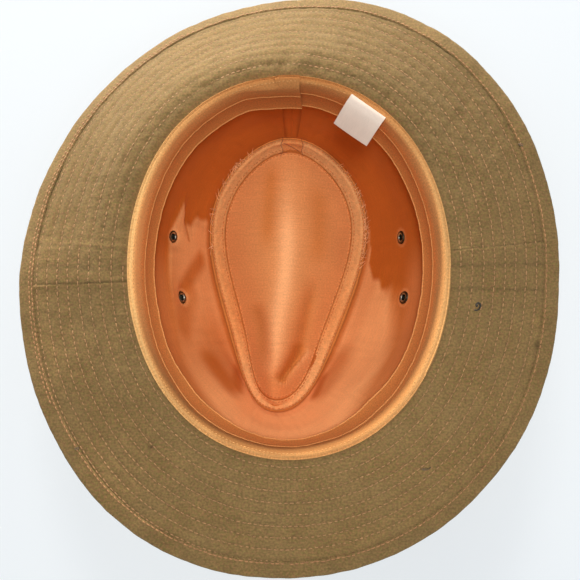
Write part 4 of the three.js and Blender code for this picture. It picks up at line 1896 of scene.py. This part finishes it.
        # Painted shade at the lining's foot, and its painted light share.
        tone = np.stack([1 - 0.4 * smoothstep(along, 0.985, 0.998), self.painted_light(angle, along)], -1)
        side = Shell("lining_side_satin", self.wall(angle, along), back, tone, weave).build()
        cut_eyelet_holes(side)
        self.keep(side, Slot.SATIN, "lining_side")

    def add_tip(self) -> None:
        """Make the tip lining, with rows close together at its seam."""
        close = 12
        inner, seam = np.linspace(0, 0.94, self.tip_rows - close), np.linspace(0.948, 1.0, close)
        angle, part = grid(even_angles(self.columns), np.concatenate([inner, seam, [1.3, 1.6, 2.0]]))
        front = self.tip_face(angle, part)
        under = front - (self.face_inset - FORM.shell - FORM.gap) * UP
        # Painted shade along the seam groove and under the band, painted light and shade of the folds, and
        # more painted light towards the back of the tip.
        line = 1 - 0.3 * bell(part - 1.0, 0.010) - 0.1 * smoothstep(part, 1.0, 1.4)
        folded = over_folds(front, FoldAmount.SHADE)
        shade = line * (1 + folded + 0.1 * smoothstep(front[..., 1], 10.0, 50.0))
        painted_light = 0.4 + over_folds(front, FoldAmount.PAINTED_LIGHT)
        painted_light = painted_light - 0.5 * bell(part - 1.0, 0.012) - 0.5 * smoothstep(part, 1.0, 1.3)
        tone = np.stack([shade, np.clip(painted_light, 0, 1)], -1)
        shell = Shell("lining_tip_satin", front, under, tone, front[..., 1::-1], pole=True)
        self.keep(shell.build(), Slot.SATIN, "lining_tip")

    def add_band(self) -> None:
        """Make the seam band round the tip."""
        angle, part = grid(even_angles(self.columns), np.linspace(0, 1, self.band_rows))
        front = self.band_face(angle, part)
        facing = np.cos(angle)
        # Painted shade along the band's edges and its outer stitch row, and painted light by the way the
        # band faces; the noise is the cloth's own speckle.
        shade = 1 - 0.38 * bell(part, 0.06) - 0.12 * bell(part - 0.86, 0.04) - 0.5 * bell(part - 1.0, 0.07)
        speckle_and_front_light = 0.07 * soft_noise(front, 1.8, 55) + 0.08 * smoothstep(facing, 0.3, 0.9)
        edges = bell(part, 0.1) + bell(part - 1.0, 0.1)
        light_by_facing = 0.45 * np.clip(0.4 - facing, 0, 1) + 0.5 * smoothstep(facing, 0.3, 0.9)
        light_by_facing = light_by_facing + 0.15 * np.clip(np.sin(angle), 0, 1)
        painted_light = 0.45 + (1 - self.in_gap(angle)) * light_by_facing - 0.45 * edges
        tone = np.stack([shade + speckle_and_front_light, np.clip(painted_light, 0, 1)], -1)
        back = front - self.band_thick * UP
        shell = Shell("tip_seam_band_satin", front, back, tone, front[..., 1::-1])
        self.keep(shell.build(), Slot.SATIN, "tip_seam_band")

    def add_strip(self) -> None:
        """Make the pressed seam strip down the back."""
        depths = np.linspace(self.strip_top, self.strip_bottom, self.strip_rows)
        across, along = grid(np.linspace(-1, 1, self.strip_columns), depths)
        angle = math.pi - across * self.strip_width / 2 / FORM.rim_half_width - self.strip_turn
        rise = 0.05 + 0.65 * (1 - np.abs(across) ** 6) - 0.2 * bell(across, 0.1)
        front = self.wall(angle, along) - rise[..., None] * BACKWARDS
        # Painted shade along the strip's edges; the whole strip takes the satin's deep, painted-shade copy.
        shade = 1.05 - 0.2 * bell(np.abs(across) - 1.0, 0.35)
        weave = np.stack([along * FORM.ridge_depth, across * self.strip_width / 2], -1)
        tone = np.stack([shade, np.full(shade.shape, self.strip_painted_light)], -1)
        back = front + self.strip_thick * BACKWARDS
        shell = Shell("back_seam_strip_satin", front, back, tone, weave, wraps=False)
        self.keep(shell.build(), Slot.SATIN, "back_seam_tape")

    def add_seam_stitches(self) -> None:
        """Make the stitches of the tip's seam: one row near each edge of the band and one on the tip."""
        around = np.linspace(0, FULL_TURN, SEAM_POINTS)
        rows = [row_on(self.band_face, around, part, -1.0, (2e-3, 0.02)) for part in self.band_seams]
        rows.append(row_on(self.tip_face, around, self.tip_seam, -1.0, (2e-3, 5e-3)))
        self.keep(sew("tip_seam_stitches", rows, self.seam_stitch, 51), Slot.SATIN)

    def add_frayed_edge(self) -> None:
        """Make the frayed threads along the band's outer edge."""
        draw = np.random.default_rng(52)
        stretches = ((92, 128, 60), (128, 146, 8), (206, 262, 40))
        places = np.concatenate([draw.uniform(*stretch) for stretch in stretches])
        part = np.linspace(0, 1, 7)
        paths = []
        for start in np.radians(places):
            reach = draw.uniform(1.0, 4.2)
            angle = start + draw.normal(0, 0.035) * part**1.5
            point = FORM.tip(angle, 1.0, self.band_outer - 0.8 + reach * part, self.face_inset + 0.9)
            point[:, 2] += reach * (0.5 * part**2 + draw.uniform(-0.1, 0.4) * part)
            paths.append(point)
        self.keep(spin_threads("tip_seam_frayed_threads", paths, 0.16, 53), Slot.SATIN)

    def add_crossing_threads(self) -> None:
        """Make the dark threads that cross the band where it parts at the back."""
        lines = []
        for x, lean in ((-4.6, 0.4), (8.3, -0.3)):
            wobble = 1.6 * lean * np.sin(np.linspace(0, 11, 16))
            lines.append((x + wobble, np.linspace(91.0, 76.0, 16), 1.25))
        for start, end in (((-3.5, 86.0), (7.5, 79.0)), ((-7.0, 78.0), (-1.0, 79.0))):
            x, y = np.linspace(start, end, 14).T
            lines.append((x, y, 1.2))
        paths = [stack(x, y, FORM.tip_height(x, y) + self.face_inset + lift) for x, y, lift in lines]
        self.keep(spin_threads("tip_seam_crossing_threads", paths, 0.18, 54), Slot.SATIN)

    def build(self) -> None:
        """Make the lining's pieces."""
        self.add_side()
        self.add_tip()
        self.add_band()
        self.add_strip()
        self.add_seam_stitches()
        self.add_frayed_edge()
        self.add_crossing_threads()

    def dress(self) -> None:
        """Give the lining's pieces their finishes."""
        self.cover(Satin(name="wall_satin"), "lining_side", "back_seam_strip")
        tip = Satin("tip_satin", (0.67, 0.215, 0.05), (0.81, 0.40, 0.175), roughness=0.62, stretch=0.6)
        self.cover(replace(tip, lustre=0.16, grain=0.12), "lining_tip")
        band = Satin("band_satin", (0.72, 0.23, 0.055), (0.76, 0.38, 0.15), roughness=0.66, stretch=0.4)
        self.cover(replace(band, lustre=0.1, grain=0.14), "tip_seam_band")
        self.cover(SewingThread("copper_thread", (0.60, 0.17, 0.035)), "tip_seam_stitches")
        self.cover(SewingThread("frayed_satin", (0.84, 0.40, 0.17)), "tip_seam_frayed_threads")
        self.cover(SewingThread("brown_thread", (0.25, 0.065, 0.02)), "tip_seam_crossing_threads")


@dataclass
class Sweatband(SubAssembly):
    """The satin sweatband with its lip, tucks and lapped tail."""

    columns: int = 520
    tail_end: float = 176.0
    tail_slant: float = 1.8
    hidden_end: float = 546.0
    under_end: float = 184.6
    full_until: float = 187.0
    flat_from: float = 200.0
    thick: float = 0.8
    tucks: tuple[float, ...] = (13.4, 29.2)
    tuck_swing: float = 1.7
    lip_end: float = 1.6
    raised: Patch = Patch(322.0, 0.4, 4.5)
    # Painted light and shade of the lip, of the band just inside it and of the band over the first tuck,
    # every 45 degrees from the front.
    lip_shades: tuple[float, ...] = (0.88, 0.95, 0.82, 0.76, 0.60, 0.84, 1.03, 0.93)
    inside_shades: tuple[float, ...] = (0.45, 0.70, 0.92, 1.0, 0.70, 1.06, 1.36, 0.52)
    tuck_shades: tuple[float, ...] = (0.55, 0.95, 1.25, 1.1, 0.74, 0.95, 1.22, 0.68)
    section: tuple[Pair, ...] = (
        (-0.4, 0.8), (-1.3, 0.5), (-2.0, 0.8), (-2.35, 1.5), (-2.3, 2.3), (-1.8, 3.0), (-0.6, 3.6),
        (1.6, 4.0), (5.0, 4.2), (9.0, 4.3), (13.4, 4.3), (17.5, 4.2), (21.5, 4.2), (25.5, 4.5),
        (28.2, 4.9), (29.6, 5.1), (30.0, 5.0),
    )
    section_depth: float = 30.0
    round_scale: float = 92.0
    steps: Pair = (0.05, 0.05)
    lip_row: float = 4.3
    lip_points: int = 1500
    lip_stitch: Stitch = Stitch(pitch=2.0, length=1.2, width=0.4, height=0.24, wander=0.05)

    def curve(self) -> tuple[Array, Array, Array]:
        """Reach from the hidden edge, depth and inset along the section."""
        points = curve_through(self.section, 600)
        return reach_along(points), points[:, 0], points[:, 1]

    def row_reaches(self) -> Array:
        """Reach of each row of points, close together on the lip and at the tucks.

        Returns:
            The reaches.
        """
        reach, depth, _ = self.curve()
        body = reach >= reach[np.argmax(depth > self.lip_end)]
        start = reach[body][0]
        close = [np.interp(at, depth[body], reach[body]) + np.linspace(-1.3, 1.3, 12) for at in self.tucks]
        rows = np.concatenate([np.linspace(0, start, 20), np.linspace(start, reach[-1], 22), *close])
        return np.unique(np.clip(rows, 0, reach[-1]))

    def face(self, degrees: Array, place: Array) -> Array:
        """Face of the band.

        Args:
            degrees: Angles round the hat, from the end of the tail on.
            place: Reaches along the section.

        Returns:
            The points.
        """
        reach, depths, insets = self.curve()
        depth = np.interp(place, reach, depths)
        slant = 1 - smoothstep(degrees, self.tail_end, self.full_until)
        degrees = degrees - self.tail_slant * depth / self.section_depth * slant
        angle = np.radians(degrees)
        arc = wrapped(angle, self.round_scale, 0.35 * depth)
        tuck = sum(0.4 * bell(depth - at, 0.28) for at in self.tucks)
        near = sum(bell(depth - at, 3.0) for at in self.tucks)
        pucker = 0.08 * soft_noise(arc, 3.4, 61) * (0.4 + near) + 0.25 * soft_noise(arc, 22.0, 62)
        lap = 1 - smoothstep(degrees, self.full_until, self.flat_from)
        lapped = lap * 1.9 * smoothstep(depth, -2.2, 2.0)
        inset = np.interp(place, reach, insets) + tuck + pucker * smoothstep(depth, -0.5, 4.0) + lapped
        swing = -self.tuck_swing * np.cos(2 * angle) * bell(depth - self.tucks[0], 7.0)
        swing -= self.raised.at(angle) * smoothstep(depth, 2.0, 14.0)
        step = 1 - smoothstep(degrees, self.under_end - 0.5, self.under_end + 0.5)
        lift = step * 1.5 * (1 - smoothstep(depth, -1.5, 3.0))
        front = smoothstep(np.cos(angle), 0.5, 0.9)
        kinks = 1.1 * soft_noise(arc, 14.0, 66) * front * smoothstep(depth, 4.0, 13.0)
        depth = depth + swing - lift + kinks + 0.12 * soft_noise(arc, 11.0, 63)
        return FORM.side_inset(angle, FORM.along_at_depth(angle, depth), inset)

    def tone(self, degrees: Array, place: Array) -> Array:
        """Painted shade and painted light of the band by angle round the hat: a lit lip and painted
        highlights on the tucks over shaded satin.

        Args:
            degrees: Angles round the hat, from the end of the tail on.
            place: Reaches along the section.

        Returns:
            The shades and painted light shares.
        """
        reach, depths, _ = self.curve()
        depth = np.interp(place, reach, depths)
        angle = np.radians(degrees)
        side = np.sin(angle) ** 2
        back = np.clip(-np.cos(angle), 0, 1) ** 2
        uneven = 0.6 * soft_noise(wrapped(angle, self.round_scale, 0.0)[..., :2], 14.0, 65)
        lip = 1 - smoothstep(place, 2.2, 4.8 + uneven)
        upper = 1 - smoothstep(depth, 3.0, 12.0)
        above_tuck = 1 - smoothstep(depth, self.tucks[0] - 1.5, self.tucks[0])
        pale = sum(bell(depth - at, 0.4) for at in self.tucks)
        hem = bell(place - 0.4, 0.5)
        # Painted shade at the back and from the tables round the hat, painted highlights on the tucks
        # (pale), painted shade along the hem, and painted light on the lip and the upper band.
        shade = 1 - 0.22 * back
        layers = ((above_tuck, self.tuck_shades), (upper, self.inside_shades), (lip, self.lip_shades))
        for part, shades in layers:
            shade = shade + (value_around(shades, angle) - shade) * part
        shade = shade + 0.2 * pale - 0.25 * hem
        lip_light = 0.2 + 0.3 * side - 0.45 * back - 0.25 * np.clip(np.sin(angle), 0, 1)
        painted_light = 0.1 + upper * (0.3 + 0.25 * side) + lip * lip_light + 0.5 * pale - 0.5 * hem
        return np.stack([shade, np.clip(painted_light, 0, 1)], -1)

    def build(self) -> None:
        """Make the sweatband and the stitches of its lip."""
        turns = np.linspace(self.tail_end, self.hidden_end, self.columns)
        degrees, place = grid(turns, self.row_reaches())
        angle = np.radians(degrees)
        front = self.face(degrees, place)
        normal = normals_on(self.face, degrees, place, self.steps, 1.0)
        seen_from = 0.7 * UP - FORM.rim_outward(angle)
        facing = np.sign((normal * seen_from).sum(axis=-1, keepdims=True))
        back = front - normal * facing * self.thick
        weave = np.stack([place, angle * self.round_scale], -1)
        shell = Shell("sweatband_satin", front, back, self.tone(degrees, place), weave, wraps=False)
        self.keep(shell.build(), Slot.SATIN, "sweatband")
        around = np.linspace(self.tail_end + 1, self.hidden_end - 12, self.lip_points)
        row = row_on(self.face, around, self.lip_row, 1.0, self.steps)
        self.keep(sew("sweatband_lip_stitches", [row], self.lip_stitch, 64), Slot.SATIN)

    def dress(self) -> None:
        """Give the sweatband its finish."""
        satin = Satin("sweatband_satin", (0.71, 0.25, 0.066), (0.77, 0.44, 0.17), roughness=0.7, stretch=0.4)
        self.cover(replace(satin, lustre=0.05, grain=0.22), "sweatband_satin")
        self.cover(SewingThread("amber_thread", (0.70, 0.36, 0.12)), "sweatband_lip_stitches")


@dataclass
class LabelTab(SubAssembly):
    """The small bare cloth tab sewn to the sweatband's lip."""

    around: float = 148.8
    width: float = 21.8
    length: float = 20.5
    thick: float = 0.5
    columns: int = 30
    rows: int = 40
    section: tuple[Pair, ...] = (
        (3.2, 2.7), (4.6, 3.1), (6.6, 2.9), (9.2, 1.7), (13.2, -1.9), (18.8, -8.4),
    )
    sewn_at: float = 0.1
    stitch: Stitch = Stitch(pitch=2.4, length=1.5, width=0.4, height=0.22, wander=0.04)

    def face(self, across: Array, along: Array) -> Array:
        """Upper face of the tab.

        Args:
            across: Places across its width, from -1 to 1.
            along: Parts of the way from the rim (0) to its free edge (1).

        Returns:
            The points.
        """
        angle = np.array(math.radians(self.around))
        inward = -FORM.rim_outward(angle)
        sideways = np.array([-inward[1], inward[0], 0.0])
        curve = curve_through(self.section, 200)
        reach, height = (np.interp(along, np.linspace(0, 1, 200), column) for column in curve.T)
        curl = 0.5 * across**2 * along + 0.35 * across * along + 0.12 * np.sin(5 * along + 2 * across)
        narrow = self.width / 2 * (1 - 0.008 * along)
        point = FORM.rim(angle) + inward * reach[..., None] + sideways * (across * narrow)[..., None]
        point[..., 2] = height + curl
        return point

    def build(self) -> None:
        """Make the tab and the stitches that hold it."""
        across, along = grid(np.linspace(-1, 1, self.columns), np.linspace(0, 1, self.rows))
        front = self.face(across, along)
        normal = normals_on(self.face, across, along, SMALL_STEPS, 1.0)
        normal *= np.sign(normal[..., 2:])
        rounded = 1 - 0.75 * np.maximum(np.abs(across) ** 24, along**40)
        weave = np.stack([across * self.width / 2, along * self.length], -1)
        shade = 1 - 0.06 * bell(along - 1, 0.03) - 0.05 * bell(np.abs(across) - 1, 0.04)
        back = front - normal * (self.thick * rounded)[..., None]
        shell = Shell("label_tab_cloth", front, back, shade[..., None], weave, wraps=False)
        self.keep(shell.build(), Slot.LABEL, "label_tab")
        row = row_on(self.face, np.linspace(-0.97, 0.97, 120), self.sewn_at, 1.0, SMALL_STEPS)
        self.keep(sew("label_tab_stitches", [row], self.stitch, 71), Slot.LABEL)

    def dress(self) -> None:
        """Give the tab its finish."""
        self.cover(WovenTape(), "label_tab_cloth")
        self.cover(SewingThread("cream_thread", (0.82, 0.68, 0.52)), "label_tab_stitches")


# The studio


@dataclass(frozen=True)
class SoftLight:
    """A rectangular studio light that points at the hat."""

    name: str
    place: tuple[float, float, float]
    width: float
    height: float
    power: float
    colour: Colour = (1.0, 1.0, 1.0)

    def build(self, target: Vector) -> None:
        """Add the light.

        Args:
            target: The place that it points at.
        """
        lamp = bpy.data.lights.new(self.name, "AREA")
        lamp.shape = "RECTANGLE"
        lamp.size, lamp.size_y = self.width, self.height
        lamp.energy = self.power
        lamp.color = self.colour
        light = bpy.data.objects.new(self.name, lamp)
        light.location = self.place
        light.rotation_euler = (target - light.location).to_track_quat("-Z", "Y").to_euler()
        bpy.context.collection.objects.link(light)


@dataclass(frozen=True)
class Studio:
    """The pale floor, the soft lights and the camera straight over the opening."""

    camera_over_opening: tuple[float, float, float] = (0.52, -12.94, 430.0)
    lens: float = 51.35
    sensor: float = 36.0
    floor_size: float = 6.0
    aim: tuple[float, float, float] = (0.0, 0.0, 0.06)
    sky: Colour = (0.93, 0.97, 1.0)
    sky_strength: float = 0.33
    lights: tuple[SoftLight, ...] = (
        SoftLight("key_light", (0.04, 0.08, 1.25), 0.22, 0.22, 6.9, (1.0, 0.98, 0.95)),
        SoftLight("raking_light", (-0.42, 1.28, 0.05), 0.4, 0.06, 32.0, (1.0, 0.94, 0.82)),
        SoftLight("window_light", (-0.06, 0.95, 0.95), 0.3, 0.3, 2.8, (1.0, 0.98, 0.95)),
        SoftLight("overhead_light", (0.0, -0.25, 1.60), 0.9, 0.9, 3.2),
    )

    def build(self) -> None:
        """Set up the camera, lights and floor."""
        scene = bpy.context.scene
        camera = bpy.data.cameras.new("photo_camera")
        camera.sensor_width = self.sensor
        camera.lens = self.lens
        eye = bpy.data.objects.new("photo_camera", camera)
        eye.location = (np.array(self.camera_over_opening) + FORM.shift()) * MM
        bpy.context.collection.objects.link(eye)
        scene.camera = eye
        for light in self.lights:
            light.build(Vector(self.aim))
        world = bpy.data.worlds.new("studio_sky")
        world.use_nodes = True
        sky = world.node_tree.nodes["Background"]
        sky.inputs["Color"].default_value = rgba(self.sky)
        sky.inputs["Strength"].default_value = self.sky_strength
        scene.world = world
        scene.view_settings.view_transform = "Standard"
        half = self.floor_size / 2
        mesh = bpy.data.meshes.new("studio_floor")
        corners = [(-half, -half, 0), (half, -half, 0), (half, half, 0), (-half, half, 0)]
        mesh.from_pydata(corners, [], [(0, 1, 2, 3)])
        floor = bpy.data.objects.new("studio_floor", mesh)
        mesh.materials.append(PaleFloor().material())
        bpy.context.collection.objects.link(floor)


def main() -> None:
    """Build and dress the hat's sub-assemblies in order and note the sizes."""
    logging.basicConfig(level=logging.INFO, format="%(name)s: %(message)s")
    Studio().build()
    for part in (Brim(), Crown(), Lining(), Sweatband(), Vents(), LabelTab()):
        part.build()
        part.dress()
        for piece in part.pieces:
            triangles = sum(len(face.vertices) - 2 for face in piece.data.polygons)
            log.info("%s: %s, %d triangles", type(part).__name__, piece.name, triangles)


if __name__ == "__main__":
    main()
